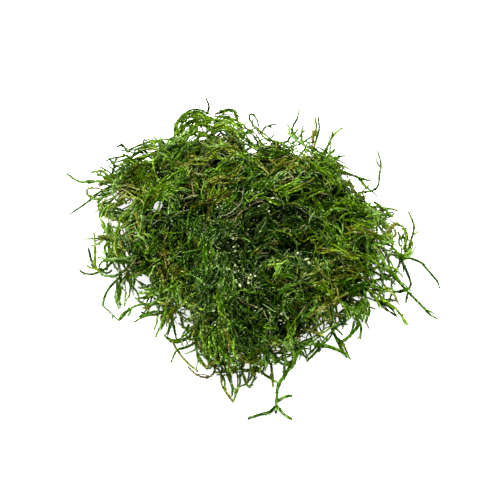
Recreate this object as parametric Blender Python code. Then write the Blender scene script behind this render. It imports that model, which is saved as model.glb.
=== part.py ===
"""Flame moss on a square of welded steel mesh.

The moss is a loose heap of tangled shoots, about 106 mm across and 27 mm high. It covers the mesh,
hangs over all four of its edges and ends in a ragged fringe of single shoots. The mesh lies flat
under the heap and carries it.

Metres, +Z up. The origin is on the table below the middle of the object, -Y is the front and +X
is the right.
"""

import math
import random

import bmesh
import bpy
from mathutils import Matrix, Vector, noise

MM = 0.001

# Mesh: quarter-inch welded mesh, cut to a square of just under 5 cm
WIRE_PITCH = 6.35 * MM
WIRES_EACH_WAY = 8
WIRE_THICKNESS = 0.85 * MM
WIRE_SIDES = 4
WELD_DEPTH = 0.25 * MM
WIRE_STUB = 1.5 * MM
MESH_CENTRE = Vector((-1.0 * MM, 4.0 * MM, 0.0))
MESH_TURN = math.radians(55)

# Heap: its outline at the table, as reaches from its centre every 20 degrees, anticlockwise from +X
HEAP_CENTRE = Vector((-1.0 * MM, 4.0 * MM, 0.0))
OUTLINE = [45.5, 40, 38.5, 42.5, 39, 47, 47, 47, 48, 43.5, 38.5, 33.5, 35, 44, 43.5, 39, 38.5, 44]
FRINGE = 4.0 * MM
HEAP_HEIGHT = 22.0 * MM
RIM_HEIGHT = 2.5 * MM
FOOT_EDGE = 0.35
SHOULDER_POWER = 3.0
CROWN_POWER = 0.75
LUMP_SPACING = 14.0 * MM
LUMP_HEIGHT = 4.0 * MM
TUFT_SPACING = 6.0 * MM
TUFT_HEIGHT = 1.6 * MM

# Gaps between pieces that touch, and under the moss that hangs beside the mesh
GAP = 0.3 * MM

# Shoots: a leafy shoot is about 1.4 mm across at its foot and half of that at its tip
SHOOT_RADIUS = 0.7 * MM
TIP_SHARE = 0.5

# Where a shoot of the rim starts inside the heap, as shares of the heap's reach and height there
ROOT_REACH = 0.8
ROOT_LEAST_LENGTH = 2.0 * MM
ROOT_HIGHEST = 0.7

# Locks that lie over the top of the heap
LOCK_COUNT = 48
LOCK_LENGTH = 19.0 * MM
LOCK_RADIUS = 1.2 * MM
LOCK_RISE = 0.8 * MM
LOCK_DIP = 1.8 * MM
LOCK_BEND = 2.0 * MM
LOCK_SPREAD = 0.9
LOCK_POINTS = (-1.0, -0.4, 0.3, 1.0)
LOCK_HEADING = math.radians(20)
SWIRL_SPACING = 30.0 * MM
SWIRL_SWING = math.radians(110)
GOLDEN_ANGLE = math.radians(137.508)

# Short shoots that make the fringe between the stray ones, a high one after each low one
FRINGE_COUNT = 36
FRINGE_SEED = 11
FRINGE_LEAN = math.radians(14)
FRINGE_UNEVEN = 1.5 * MM
LOW_FOOT, HIGH_FOOT = 0.35, 0.62
LOW_TIPS = (1.5 * MM, 5.0 * MM)
HIGH_TIPS = (6.0 * MM, 11.0 * MM)

# Stray shoots around the rim, from foot to tip, in millimetres
STRAY_SHOOTS = {
    "back_left_thin": [(-13, 49, 11), (-12, 49.5, 14), (-13, 50.5, 16)],
    "back_arch": [(-10, 48.5, 11), (-7, 48, 14), (-4.5, 49.5, 12), (-3.5, 48.5, 9)],
    "back_left_high": [(-36.5, 36, 9), (-37.5, 37, 11), (-39, 35, 12)],
    "back_left_low": [(-40.5, 28, 8), (-39.5, 30, 10), (-41, 31.5, 11)],
    "left_back_short": [(-41, 27, 8), (-43, 28.5, 9), (-46, 28, 9)],
    "left_back_long": [(-40, 25.5, 7), (-47.5, 26, 7), (-50.5, 27, 6), (-53, 29, 7)],
    "left_long": [(-38, 25, 7), (-43, 22.5, 7), (-46.5, 20, 6), (-52, 16.5, 4)],
    "left_loop": [(-43.5, 20.5, 6), (-46.5, 21, 6), (-47, 22, 8), (-42.5, 22.5, 8)],
    "left_upright": [(-42, -4.5, 4), (-43.5, -3.5, 5), (-43.5, -0.5, 9), (-43.5, 2, 12)],
    "left_leaning": [(-41, -3, 3), (-44, -2, 3), (-46, 3, 5)],
    "left_thin": [(-38, 5, 6), (-41, 6, 6), (-46.5, 6.5, 5)],
    "left_drooping": [(-39, -1, 4), (-41, -3, 3), (-44.5, -3, 1.2), (-48, -1.5, 1.2)],
    "left_inner": [(-39, 4.5, 7), (-41, 2, 7), (-40.5, 0, 5), (-40.5, -2.5, 3)],
    "front_left_loop": [(-36, -5.5, 4), (-38, -8, 3), (-40, -10, 2), (-41, -13, 1.2)],
    "front_left_sweep": [(-23.5, -16.5, 5), (-31, -15.5, 3), (-34, -17, 2), (-36.5, -19, 1.2)],
    "front_left_tip": [(-36.5, -9, 4), (-36.5, -11, 2), (-36, -14.5, 1.2)],
    "front_left_low": [(-23.5, -18.5, 4), (-29, -18.5, 2), (-32, -19.5, 1.2)],
    "front_left_tuft_left": [(-23, -16, 6), (-23.5, -20.5, 4), (-25.5, -24.5, 1.2)],
    "front_left_tuft_right": [(-22.5, -16, 6), (-21.5, -20.5, 4), (-20, -24.5, 1.2)],
    "front_left_curl": [(-15, -26, 5), (-18.5, -27.5, 3), (-21, -27, 2), (-23, -25, 2)],
    "front_hook": [(-14.5, -29, 5), (-17, -30, 4), (-19.5, -30.5, 3), (-21, -32, 1.2)],
    "front_arc_left": [(-18, -27, 3), (-19.5, -30, 2), (-17, -33, 1.2), (-14, -36, 1.2)],
    "front_arc_right": [(-10, -35, 4), (-9.5, -36, 2), (-11, -37.5, 1.2), (-16.5, -35, 1.2)],
    "front_down_long": [(-7.5, -37, 4), (-7, -39.5, 3), (-6.5, -42, 1.5), (-4.5, -45.5, 1.2)],
    "front_down_short": [(-3.5, -37, 4), (-3.5, -40, 3), (-3.5, -42.5, 1.5)],
    "front_cup": [(-2.5, -37, 4), (-1.5, -39.5, 2), (-0.5, -41, 1.2), (1.5, -38.5, 3)],
    "front_right_short": [(1.5, -35.5, 3), (3.5, -37.5, 2), (7.5, -39.5, 1.2)],
    "front_spray": [(14.5, -30, 5), (10, -36.5, 2), (7.5, -40, 1.5), (7, -43.5, 1.2), (7, -47, 1.2)],
    "front_right_flat": [(17, -29.5, 4), (21, -29.5, 3), (25, -30, 1.5), (27, -31.5, 1.2)],
    "front_right_drop": [(21.5, -23, 6), (24, -27.5, 2), (26, -31, 1.2)],
    "front_right_curl": [(18.5, -27.5, 4), (19, -29.5, 3), (15.5, -32, 1.2)],
    "front_right_side": [(29, -21, 5), (30, -23, 4), (30, -25, 1.2)],
    "right_low": [(35.5, -15, 6), (38.5, -17, 5), (40.5, -18, 4), (43, -20.5, 2)],
    "right_long": [(39, -7, 8), (43.5, -13, 6), (47, -16, 4), (51, -20, 3)],
    "right_upper_long": [(41.5, -3, 9), (47.5, -4, 8), (48.5, -5, 7), (52, -8.5, 5), (53, -10.5, 5)],
    "right_hook": [(42, -2, 8), (43.5, -6, 6), (45, -9, 4), (43, -10.5, 3), (39, -12, 2)],
    "right_upright": [(44, 0, 6), (45, 2, 10), (45.5, 4.5, 15), (44, 6, 17)],
    "right_arc": [(41, 1, 6), (43, 4, 9), (42, 6.5, 11)],
    "right_back_short": [(35.5, 16, 10), (38.5, 11.5, 11), (40.5, 10.5, 10)],
    "right_back_long": [(31, 19, 10), (34.5, 19, 11), (37, 21.5, 15), (37.5, 23.5, 17), (36.5, 27, 19)],
    "right_back_flat": [(26, 28, 10), (29.5, 25, 11), (34.5, 23.5, 11)],
    "back_right_long": [(20.5, 32.5, 10), (22, 34.5, 11), (27, 41, 14)],
    "back_right_upright": [(18, 34, 10), (20, 38.5, 14), (20, 43.5, 16)],
    "back_tall": [(11, 38, 11), (12.5, 41.5, 14), (14, 42.5, 16), (14.5, 45.5, 17)],
    "back_low": [(3.5, 41, 10), (5, 44.5, 11), (6.5, 43.5, 11)],
}

# Side shoots that fork from a stray shoot, from the fork to the tip, in millimetres
FORKS = {
    "front_spray_left_fork": [(7, -46, 1.3), (5.5, -48.5, 1.1), (0, -50.5, 1.2)],
    "front_spray_right_fork": [(7, -45.5, 1.4), (8.5, -49, 1.3), (10.5, -50.5, 1.4)],
    "front_spray_side_fork": [(7, -44.5, 1.5), (9, -44, 1.4), (11, -43.5, 1.5)],
    "right_long_fork": [(43.5, -13, 6), (43.5, -14, 5), (43, -15.5, 4)],
    "back_tall_fork": [(11.8, 40, 12.7), (13, 40, 13.5), (15, 39.5, 14.5)],
}

SPRING_GREEN = (0.10, 0.24, 0.03, 1.0)
STEEL_GREY = (0.55, 0.56, 0.57, 1.0)


def clear_scene():
    for item in list(bpy.data.objects):
        bpy.data.objects.remove(item)


def new_collection(name):
    collection = bpy.data.collections.new(name)
    bpy.context.scene.collection.children.link(collection)
    return collection


def new_material(name, colour, roughness, metallic):
    material = bpy.data.materials.new(name)
    material.use_nodes = True
    shader = material.node_tree.nodes["Principled BSDF"]
    shader.inputs["Base Color"].default_value = colour
    shader.inputs["Roughness"].default_value = roughness
    shader.inputs["Metallic"].default_value = metallic
    return material


def object_from_bmesh(name, shape, collection):
    data = bpy.data.meshes.new(name)
    shape.to_mesh(data)
    shape.free()
    made = bpy.data.objects.new(name, data)
    collection.objects.link(made)
    return made


def as_helper(item):
    """Marks a cutter or a piece that is joined to another, so that it isn't a part of its own."""
    item.hide_render = True
    item.display_type = "WIRE"


def add_boolean(target, name, operation, other):
    """Joins or cuts the target with another object, or with all the objects of a collection."""
    modifier = target.modifiers.new(name, "BOOLEAN")
    modifier.operation = operation
    modifier.solver = "EXACT"
    if isinstance(other, bpy.types.Collection):
        modifier.operand_type = "COLLECTION"
        modifier.collection = other
    else:
        modifier.object = other


# Heap

def outline_reach(angle):
    """The heap's reach from its centre at this angle, on a smooth closed curve through OUTLINE."""
    count = len(OUTLINE)
    place = angle / (2 * math.pi) * count % count
    first = int(place)
    t = place - first
    before, start, end, after = (OUTLINE[(first + step) % count] for step in (-1, 0, 1, 2))
    slope = end - before
    bend = 2 * before - 5 * start + 4 * end - after
    twist = 3 * start - before - 3 * end + after
    return 0.5 * (2 * start + slope * t + bend * t**2 + twist * t**3) * MM - FRINGE


def polar_place(angle, reach):
    """The place on the table at this angle and reach from the heap's centre."""
    return HEAP_CENTRE + Vector((math.cos(angle), math.sin(angle), 0)) * reach


def lumps(x, y):
    """The uneven top of the heap: broad lumps with smaller tufts on them."""
    broad = noise.noise(Vector((x / LUMP_SPACING, y / LUMP_SPACING, 0.5)))
    small = noise.noise(Vector((x / TUFT_SPACING, y / TUFT_SPACING, 7.5)))
    return broad * LUMP_HEIGHT + small * TUFT_HEIGHT


def top_height(x, y):
    """The height of the heap's top at a place on the table, or of its rim outside it."""
    away = Vector((x, y, 0)) - HEAP_CENTRE
    share = min(away.length / outline_reach(math.atan2(away.y, away.x)), 1.0)
    crown = (1 - share**SHOULDER_POWER) ** CROWN_POWER
    return RIM_HEIGHT + HEAP_HEIGHT * crown + lumps(x, y) * crown


def make_heap(collection):
    """A ball of triangles drawn into the heap's outline, with its top on top_height and a flat foot."""
    shape = bmesh.new()
    bmesh.ops.create_icosphere(shape, subdivisions=4, radius=1.0)
    foot = [face for face in shape.faces if all(vert.co.z < -FOOT_EDGE for vert in face.verts)]
    for vert in shape.verts:
        angle = math.atan2(vert.co.y, vert.co.x)
        reach = outline_reach(angle) * min(math.hypot(vert.co.x, vert.co.y), 1.0)
        x = HEAP_CENTRE.x + reach * math.cos(angle)
        y = HEAP_CENTRE.y + reach * math.sin(angle)
        if vert.co.z >= 0:
            vert.co = (x, y, top_height(x, y))
        else:
            curl = max(1 + vert.co.z / FOOT_EDGE, 0.0)
            vert.co = (x, y, GAP + (RIM_HEIGHT - GAP) * curl**2)
    bmesh.ops.dissolve_faces(shape, faces=foot)
    heap = object_from_bmesh("moss", shape, collection)
    heap.data.shade_smooth()
    return heap


# Shoots and locks

def make_shoot(name, points, radius, collection):
    """A tapering tube through the points, as a closed mesh that a Boolean can join."""
    curve = bpy.data.curves.new(name, "CURVE")
    curve.dimensions = "3D"
    curve.bevel_depth = radius
    curve.bevel_resolution = 0
    curve.use_fill_caps = True
    spline = curve.splines.new("POLY")
    spline.points.add(len(points) - 1)
    for index, (slot, place) in enumerate(zip(spline.points, points)):
        slot.co = (*place, 1.0)
        slot.radius = 1.0 - (1.0 - TIP_SHARE) * index / (len(points) - 1)
    guide = bpy.data.objects.new(name + "_guide", curve)
    collection.objects.link(guide)
    graph = bpy.context.evaluated_depsgraph_get()
    data = bpy.data.meshes.new_from_object(guide.evaluated_get(graph))
    shape = bmesh.new()
    shape.from_mesh(data)
    bmesh.ops.remove_doubles(shape, verts=shape.verts, dist=0.001 * MM)
    shape.to_mesh(data)
    shape.free()
    shoot = bpy.data.objects.new(name, data)
    shoot.matrix_world = guide.matrix_world
    collection.objects.link(shoot)
    bpy.data.objects.remove(guide)
    as_helper(shoot)


def rooted(points):
    """Adds a foot inside the heap to a shoot that starts at its rim."""
    start = points[0] - HEAP_CENTRE
    angle = math.atan2(start.y, start.x)
    reach = min(outline_reach(angle) * ROOT_REACH, start.to_2d().length - ROOT_LEAST_LENGTH)
    foot = polar_place(angle, reach)
    foot.z = min(points[0].z, ROOT_HIGHEST * top_height(foot.x, foot.y))
    return [foot] + points


def lock_path(index):
    """The path of one lock: a low arc that starts and ends inside the heap."""
    angle = index * GOLDEN_ANGLE
    reach = outline_reach(angle) * LOCK_SPREAD * math.sqrt((index + 0.5) / LOCK_COUNT)
    middle = polar_place(angle, reach)
    swirl = noise.noise(Vector((middle.x / SWIRL_SPACING, middle.y / SWIRL_SPACING, 3.5)))
    heading = LOCK_HEADING + swirl * SWIRL_SWING
    along = Vector((math.cos(heading), math.sin(heading), 0))
    aside = Vector((-along.y, along.x, 0))
    path = []
    for share in LOCK_POINTS:
        place = middle + along * share * LOCK_LENGTH / 2 + aside * LOCK_BEND * share**2
        rise = LOCK_RISE - (LOCK_RISE + LOCK_DIP) * share**2
        place.z = max(top_height(place.x, place.y) + rise, GAP + LOCK_RADIUS)
        path.append(place)
    return path


def fringe_path(index, draw):
    """The path of one short shoot of the fringe, which leans out and to one side."""
    angle = 2 * math.pi * (index + draw.uniform(-0.3, 0.3)) / FRINGE_COUNT
    lean = draw.uniform(-FRINGE_LEAN, FRINGE_LEAN)
    foot_reach = outline_reach(angle) * ROOT_REACH
    tip_reach = outline_reach(angle) + FRINGE + draw.uniform(-FRINGE_UNEVEN, FRINGE_UNEVEN)
    high = index % 2
    foot_height = (HIGH_FOOT if high else LOW_FOOT) * top_height(*polar_place(angle, foot_reach).xy)
    tip_height = draw.uniform(*(HIGH_TIPS if high else LOW_TIPS))
    path = []
    for share in (0.0, 0.5, 1.0):
        place = polar_place(angle + lean * share**2, foot_reach + (tip_reach - foot_reach) * share)
        place.z = foot_height + (tip_height - foot_height) * share
        path.append(place)
    return path


def make_shoots(collection):
    for name, places in STRAY_SHOOTS.items():
        points = [Vector(place) * MM for place in places]
        make_shoot(name, rooted(points), SHOOT_RADIUS, collection)
    for name, places in FORKS.items():
        make_shoot(name, [Vector(place) * MM for place in places], SHOOT_RADIUS * TIP_SHARE, collection)
    for index in range(LOCK_COUNT):
        make_shoot(f"lock_{index + 1}", lock_path(index), LOCK_RADIUS, collection)
    draw = random.Random(FRINGE_SEED)
    for index in range(FRINGE_COUNT):
        make_shoot(f"fringe_{index + 1}", fringe_path(index, draw), SHOOT_RADIUS, collection)


# Mesh

def mesh_height():
    return 2 * WIRE_THICKNESS - WELD_DEPTH


def mesh_side():
    return (WIRES_EACH_WAY - 1) * WIRE_PITCH + 2 * WIRE_STUB


def make_wires(name, centre_height, turn, collection):
    """One layer of parallel wires that lie on a flat side and run at this angle to +X."""
    shape = bmesh.new()
    corner_radius = WIRE_THICKNESS / 2 / math.cos(math.pi / WIRE_SIDES)
    flat_side_down = Matrix.Rotation(math.pi / WIRE_SIDES, 4, "Z")
    along_x = Matrix.Rotation(math.pi / 2, 4, "Y")
    for index in range(WIRES_EACH_WAY):
        offset = (index - (WIRES_EACH_WAY - 1) / 2) * WIRE_PITCH
        place = Matrix.Translation(MESH_CENTRE) @ Matrix.Rotation(turn, 4, "Z")
        place = place @ Matrix.Translation((0, offset, centre_height)) @ along_x @ flat_side_down
        bmesh.ops.create_cone(
            shape,
            cap_ends=True,
            segments=WIRE_SIDES,
            radius1=corner_radius,
            radius2=corner_radius,
            depth=mesh_side(),
            matrix=place,
        )
    return object_from_bmesh(name, shape, collection)


def make_mesh(parts, helpers):
    """Two crossed layers of wires, welded where they cross."""
    half = WIRE_THICKNESS / 2
    lower = make_wires("mesh", half, MESH_TURN, parts)
    upper = make_wires("mesh_upper_wires", mesh_height() - half, MESH_TURN + math.pi / 2, helpers)
    as_helper(upper)
    add_boolean(lower, "weld upper wires", "UNION", upper)
    lower.data.materials.append(new_material("welded_steel", STEEL_GREY, 0.35, 1.0))


def make_mesh_seat(helpers):
    """The room for the mesh under the heap, with a gap all round."""
    side = mesh_side() + 2 * GAP
    top = mesh_height() + GAP
    depth = 10 * MM
    shape = bmesh.new()
    place = Matrix.Translation(MESH_CENTRE + Vector((0, 0, top - depth / 2)))
    size = Matrix.Diagonal((side, side, depth, 1.0))
    bmesh.ops.create_cube(shape, size=1.0, matrix=place @ Matrix.Rotation(MESH_TURN, 4, "Z") @ size)
    seat = object_from_bmesh("mesh_seat", shape, helpers)
    as_helper(seat)
    return seat


def make_moss(parts, helpers, shoots):
    heap = make_heap(parts)
    heap.data.materials.append(new_material("moss_green", SPRING_GREEN, 0.5, 0.0))
    make_shoots(shoots)
    add_boolean(heap, "join shoots", "UNION", shoots)
    add_boolean(heap, "seat mesh", "DIFFERENCE", make_mesh_seat(helpers))


def main():
    clear_scene()
    parts = new_collection("flame_moss_on_mesh")
    helpers = new_collection("cutters")
    shoots = new_collection("shoots_joined_to_moss")
    make_mesh(parts, helpers)
    make_moss(parts, helpers, shoots)


main()
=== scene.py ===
"""Flame moss on a square of welded steel mesh: the leafy shoots, the wires and a plain studio.

Every shoot is a thin stem with small scale leaves pressed to it, laid over and through the heap
of the part. Lengths are in millimetres here and go into the meshes as metres.
"""

import math

import bpy
import numpy as np
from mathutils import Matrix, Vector, noise


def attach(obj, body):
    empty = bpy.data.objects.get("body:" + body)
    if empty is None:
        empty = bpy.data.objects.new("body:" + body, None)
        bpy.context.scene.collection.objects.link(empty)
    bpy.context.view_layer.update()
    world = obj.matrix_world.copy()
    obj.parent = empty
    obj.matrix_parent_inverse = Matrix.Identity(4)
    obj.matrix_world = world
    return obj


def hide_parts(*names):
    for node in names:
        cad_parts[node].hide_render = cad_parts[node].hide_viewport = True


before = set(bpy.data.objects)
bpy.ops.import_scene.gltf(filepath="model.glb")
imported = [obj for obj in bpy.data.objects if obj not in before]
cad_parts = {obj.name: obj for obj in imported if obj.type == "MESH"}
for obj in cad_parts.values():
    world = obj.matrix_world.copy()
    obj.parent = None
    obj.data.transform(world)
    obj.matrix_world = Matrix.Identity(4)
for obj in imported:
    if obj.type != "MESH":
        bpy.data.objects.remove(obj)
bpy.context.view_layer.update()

MM = 0.001
TURN = 2 * math.pi

# Mesh, as in the part's source
WIRE_PITCH = 6.35
WIRES_EACH_WAY = 8
WIRE_RADIUS = 0.4
WIRE_STUB = 1.5
LOWER_WIRE_HEIGHT = 0.43
UPPER_WIRE_HEIGHT = 1.02
MESH_TOP = 1.45
MESH_CENTRE = (-1.0, 4.0)
MESH_TURN = math.radians(55)

# Heap, as in the part's source
HEAP_CENTRE = np.array([-1.0, 4.0])
OUTLINE = np.array([45.5, 40.5, 39.5, 43, 39.5, 47, 47, 47.5, 48, 42, 37.5, 33.5, 34.5, 43.5, 43, 37, 36.5, 42.5])
DENSE_SHARES = np.array([
    0.88, 0.89, 0.85, 0.85, 0.85, 0.86, 0.84, 0.84, 0.83, 0.83, 0.86, 0.89, 0.95, 0.97, 0.92, 0.92, 0.93, 0.92,
])
EDGE_INSET = 1.5
HEAP_HEIGHT = 22.0
RIM_HEIGHT = 2.5
SHOULDER_POWER = 3.0
CROWN_POWER = 0.75
LUMP_SPACING = 14.0
LUMP_HEIGHT = 4.0
TUFT_SPACING = 6.0
TUFT_HEIGHT = 1.6

# Photo: the camera that took it, and the width that its 500 pixels hold at the heap
VIEW_ELEVATION = math.radians(52)
VIEW_DISTANCE = 400.0
VIEW_TARGET = np.array([0.0, 0.0, 8.0])
VIEW_WIDTH = 140.0
PHOTO_PIXELS = 500
SENSOR_WIDTH = 36.0

# Shoots
STEM_STEP = 1.2
STEM_RADIUS = 0.29
LEAF_LENGTH = 1.05
LEAF_HALF_WIDTH = 0.27
LEAVES_PER_MM = 3.6
LEAF_ANGLES = (0.06, 0.32)
LEAF_TURN = math.radians(137.5)
LOWEST = 0.4

# Places on the palette of hues, from the near-black of painted shade and old, shaded shoots to pale dry ones; the pale
# place also paints glints
SHADE_BLACK, DEEP, WET, FOREST, GRASS, LIME, OLIVE, BROWN, STRAW, PALE = (
    0.02, 0.11, 0.20, 0.30, 0.42, 0.55, 0.66, 0.77, 0.87, 0.97
)
HUE_STOPS = [
    # Near black: painted shade for the inside of the heap
    (SHADE_BLACK, (0.0006, 0.0016, 0.0)),
    (DEEP, (0.0055, 0.0240, 0.0004)),
    (WET, (0.021, 0.044, 0.0065)),
    (FOREST, (0.022, 0.068, 0.0004)),
    (GRASS, (0.052, 0.118, 0.001)),
    (LIME, (0.098, 0.156, 0.002)),
    (OLIVE, (0.080, 0.088, 0.006)),
    (BROWN, (0.068, 0.052, 0.012)),
    (STRAW, (0.150, 0.132, 0.052)),
    (PALE, (0.215, 0.255, 0.130)),
]
DARKEST, LIGHTEST, LIGHT_POWER = 0.1, 4.0, 1.6
PALE_SHEEN = (0.27, 0.36, 0.16)


# Heap surface

def outline_reach(angle):
    """The reach of the dense moss from the heap's centre, on a smooth closed curve through OUTLINE."""
    count = len(OUTLINE)
    place = np.mod(angle / TURN * count, count)
    first = np.floor(place).astype(int)
    t = place - first
    before, start, end, after = (OUTLINE[(first + step) % count] for step in (-1, 0, 1, 2))
    slope = end - before
    bend = 2 * before - 5 * start + 4 * end - after
    twist = 3 * start - before - 3 * end + after
    return 0.5 * (2 * start + slope * t + bend * t**2 + twist * t**3) - EDGE_INSET


def dense_share(x, y):
    """How far out the moss is dense in the direction of a place: beyond it the shoots lie loose."""
    angle = np.arctan2(y - HEAP_CENTRE[1], x - HEAP_CENTRE[0])
    count = len(DENSE_SHARES)
    return np.interp(np.mod(angle / TURN * count, count), np.arange(count + 1), np.append(DENSE_SHARES, DENSE_SHARES[0]))


def noise_at(points, spacing, level):
    """Smooth noise at each place, for broad forms."""
    return np.array([noise.noise(Vector((x / spacing, y / spacing, level))) for x, y in points])


GRID_REACH = 62.0
GRID_STEP = 0.8
GRID_LINE = np.arange(-GRID_REACH, GRID_REACH + GRID_STEP / 2, GRID_STEP)


def noise_grid(spacing, level):
    places = [(x, y) for x in GRID_LINE for y in GRID_LINE]
    return noise_at(places, spacing, level).reshape(len(GRID_LINE), len(GRID_LINE))


def read_grid(grid, x, y):
    """The value of a grid at any place, blended from its four neighbours."""
    last = len(GRID_LINE) - 1.001
    column = np.clip((x + GRID_REACH) / GRID_STEP, 0, last)
    row = np.clip((y + GRID_REACH) / GRID_STEP, 0, last)
    i, j = column.astype(int), row.astype(int)
    s, t = column - i, row - j
    near = grid[i, j] * (1 - t) + grid[i, j + 1] * t
    far = grid[i + 1, j] * (1 - t) + grid[i + 1, j + 1] * t
    return near * (1 - s) + far * s


LUMPS = noise_grid(LUMP_SPACING, 0.5) * LUMP_HEIGHT + noise_grid(TUFT_SPACING, 7.5) * TUFT_HEIGHT


def heap_share(x, y):
    """How far out a place is: 0 at the heap's centre, 1 at its rim."""
    away_x, away_y = x - HEAP_CENTRE[0], y - HEAP_CENTRE[1]
    return np.hypot(away_x, away_y) / outline_reach(np.arctan2(away_y, away_x))


def top_height(x, y):
    share = np.minimum(heap_share(x, y), 1.0)
    crown = (1 - share**SHOULDER_POWER) ** CROWN_POWER
    return RIM_HEIGHT + HEAP_HEIGHT * crown + read_grid(LUMPS, x, y) * crown


# Photo camera

VIEW_RIGHT = np.array([1.0, 0.0, 0.0])
VIEW_FORWARD = np.array([0.0, math.cos(VIEW_ELEVATION), -math.sin(VIEW_ELEVATION)])
VIEW_UP = np.array([0.0, math.sin(VIEW_ELEVATION), math.cos(VIEW_ELEVATION)])
EYE = VIEW_TARGET - VIEW_FORWARD * VIEW_DISTANCE
PIXEL_SLOPE = VIEW_WIDTH / PHOTO_PIXELS / VIEW_DISTANCE


def sight(px, py):
    """The direction in which a pixel of the photo looks."""
    half = PHOTO_PIXELS / 2
    ray = VIEW_FORWARD + VIEW_RIGHT * (px - half) * PIXEL_SLOPE - VIEW_UP * (py - half) * PIXEL_SLOPE
    return ray / np.linalg.norm(ray)


def seen_at_height(px, py, height):
    ray = sight(px, py)
    return EYE + ray * (height - EYE[2]) / ray[2]


def seen_on_heap(px, py, lift):
    """The place where a pixel's sight line meets the heap's top, raised by lift."""
    for height in np.arange(32.0, LOWEST, -0.25):
        place = seen_at_height(px, py, height)
        if top_height(place[:1], place[1:2])[0] + lift >= height:
            break
    return place


def photo_pixels(points):
    """The pixels of the photo at which points show."""
    away = points - EYE
    scale = 1 / PIXEL_SLOPE / (away @ VIEW_FORWARD)
    half = PHOTO_PIXELS / 2
    return np.stack([half + away @ VIEW_RIGHT * scale, half - away @ VIEW_UP * scale], -1)


# Main directions of the shoots, as a pixel of the photo and an angle there, anticlockwise from right
FLOWS = {
    "back_left_arch": (200, 122, 5),
    "back_left_arch_right": (226, 128, -23),
    "back_middle": (252, 142, -33),
    "back_right": (283, 152, -19),
    "back_right_end": (308, 150, 42),
    "left_back": (145, 153, 25),
    "left_back_inner": (171, 165, 33),
    "left": (115, 190, 20),
    "left_inner": (150, 205, 17),
    "left_rim": (100, 235, 85),
    "left_rim_low": (116, 266, 80),
    "left_low": (150, 250, -15),
    "left_middle": (175, 230, 8),
    "left_middle_low": (172, 285, -30),
    "upper_left": (205, 180, 0),
    "upper": (240, 190, 45),
    "upper_right": (278, 180, 40),
    "upper_far_right": (308, 180, 16),
    "upper_right_rim": (335, 180, -25),
    "middle_left": (205, 232, 40),
    "middle_bundle": (206, 262, 80),
    "middle": (245, 240, 38),
    "middle_right": (290, 225, 5),
    "right": (330, 215, -4),
    "right_inner": (355, 235, -2),
    "right_rim": (390, 235, -45),
    "right_rim_low": (398, 262, -55),
    "right_low": (388, 300, -42),
    "middle_low": (235, 285, 75),
    "middle_low_right": (270, 285, -10),
    "low_right": (325, 285, 45),
    "low_right_rim": (352, 305, 60),
    "front_right": (310, 325, 25),
    "front_middle": (280, 335, 3),
    "front_inner": (255, 315, -18),
    "front_left_inner": (228, 325, -58),
    "front_left": (203, 325, 48),
    "left_front_rim": (150, 310, 24),
    "front": (232, 365, -45),
    "front_tip": (232, 392, -70),
}
FLOW_BREADTH = 20.0

# Gaps that one sees through, as a pixel of the photo and a radius in pixels
GAPS = {
    "back_left_large": (198, 129, 2.6),
    "back_left_small": (205, 138, 2.0),
    "back_left_right": (217, 134, 2.0),
    "back_left_low": (194, 138, 2.2),
    "back_slit": (192, 128, 1.8),
    "back_left_dot": (218, 148, 2.0),
    "back_dot": (249, 152, 2.2),
    "back_right": (295, 149, 3.0),
    "back_right_low": (313, 152, 2.6),
    "back_right_rim": (330, 169, 2.5),
    "left_high": (134, 153, 3.5),
    "left_high_right": (148, 150, 3.5),
    "left_middle": (126, 160, 3.5),
    "left_rim_top": (108, 187, 2.5),
    "left_rim": (126, 208, 2.4),
    "left_rim_low": (148, 214, 3.4),
    "left_rim_mid": (158, 206, 3.2),
    "left_rim_side": (114, 224, 3.0),
    "left_rim_lower": (121, 232, 3.0),
    "left_rim_lowest": (107, 243, 3.5),
    "front_left": (142, 281, 6.0),
    "front_left_low": (134, 291, 3.5),
    "front_left_lower": (186, 318, 3.0),
    "right_rim": (387, 246, 2.4),
    "right_rim_high": (376, 229, 2.4),
    "right_rim_low": (394, 262, 5.0),
    "right_rim_lower": (386, 272, 3.5),
    "right_low": (377, 282, 2.5),
    "front_right": (307, 339, 3.5),
    "front_right_side": (338, 308, 5.0),
    "front_right_low": (334, 326, 4.0),
    "front_right_end": (322, 338, 3.0),
    "back_left_large_end": (203, 128, 2.6),
    "back_left_small_end": (209, 141, 2.0),
    "back_left_right_end": (222, 135, 2.0),
    "back_left_lower": (187, 139, 1.8),
    "back_slit_end": (192, 132, 1.6),
    "lobe_slit": (185, 123, 1.4),
    "lobe_slit_end": (190, 120, 1.6),
    "lobe_slit_right": (200, 117, 1.5),
    "lobe_dot": (211, 126, 1.6),
    "lobe_low_dot": (210, 132, 1.5),
    "lobe_base": (198, 152, 2.4),
    "back_notch": (251, 137, 3.0),
    "back_notch_end": (255, 142, 2.4),
    "back_right_end": (301, 148, 3.0),
    "right_back_rim": (345, 179, 3.6),
    "right_back_rim_end": (357, 188, 4.0),
    "right_rim_top": (376, 209, 2.2),
    "right_rim_mid": (380, 234, 2.0),
    "right_rim_inner": (377, 241, 2.4),
    "right_rim_arch": (397, 238, 3.0),
    "right_rim_arch_low": (397, 245, 3.0),
    "right_rim_knot": (394, 251, 2.4),
}

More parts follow.
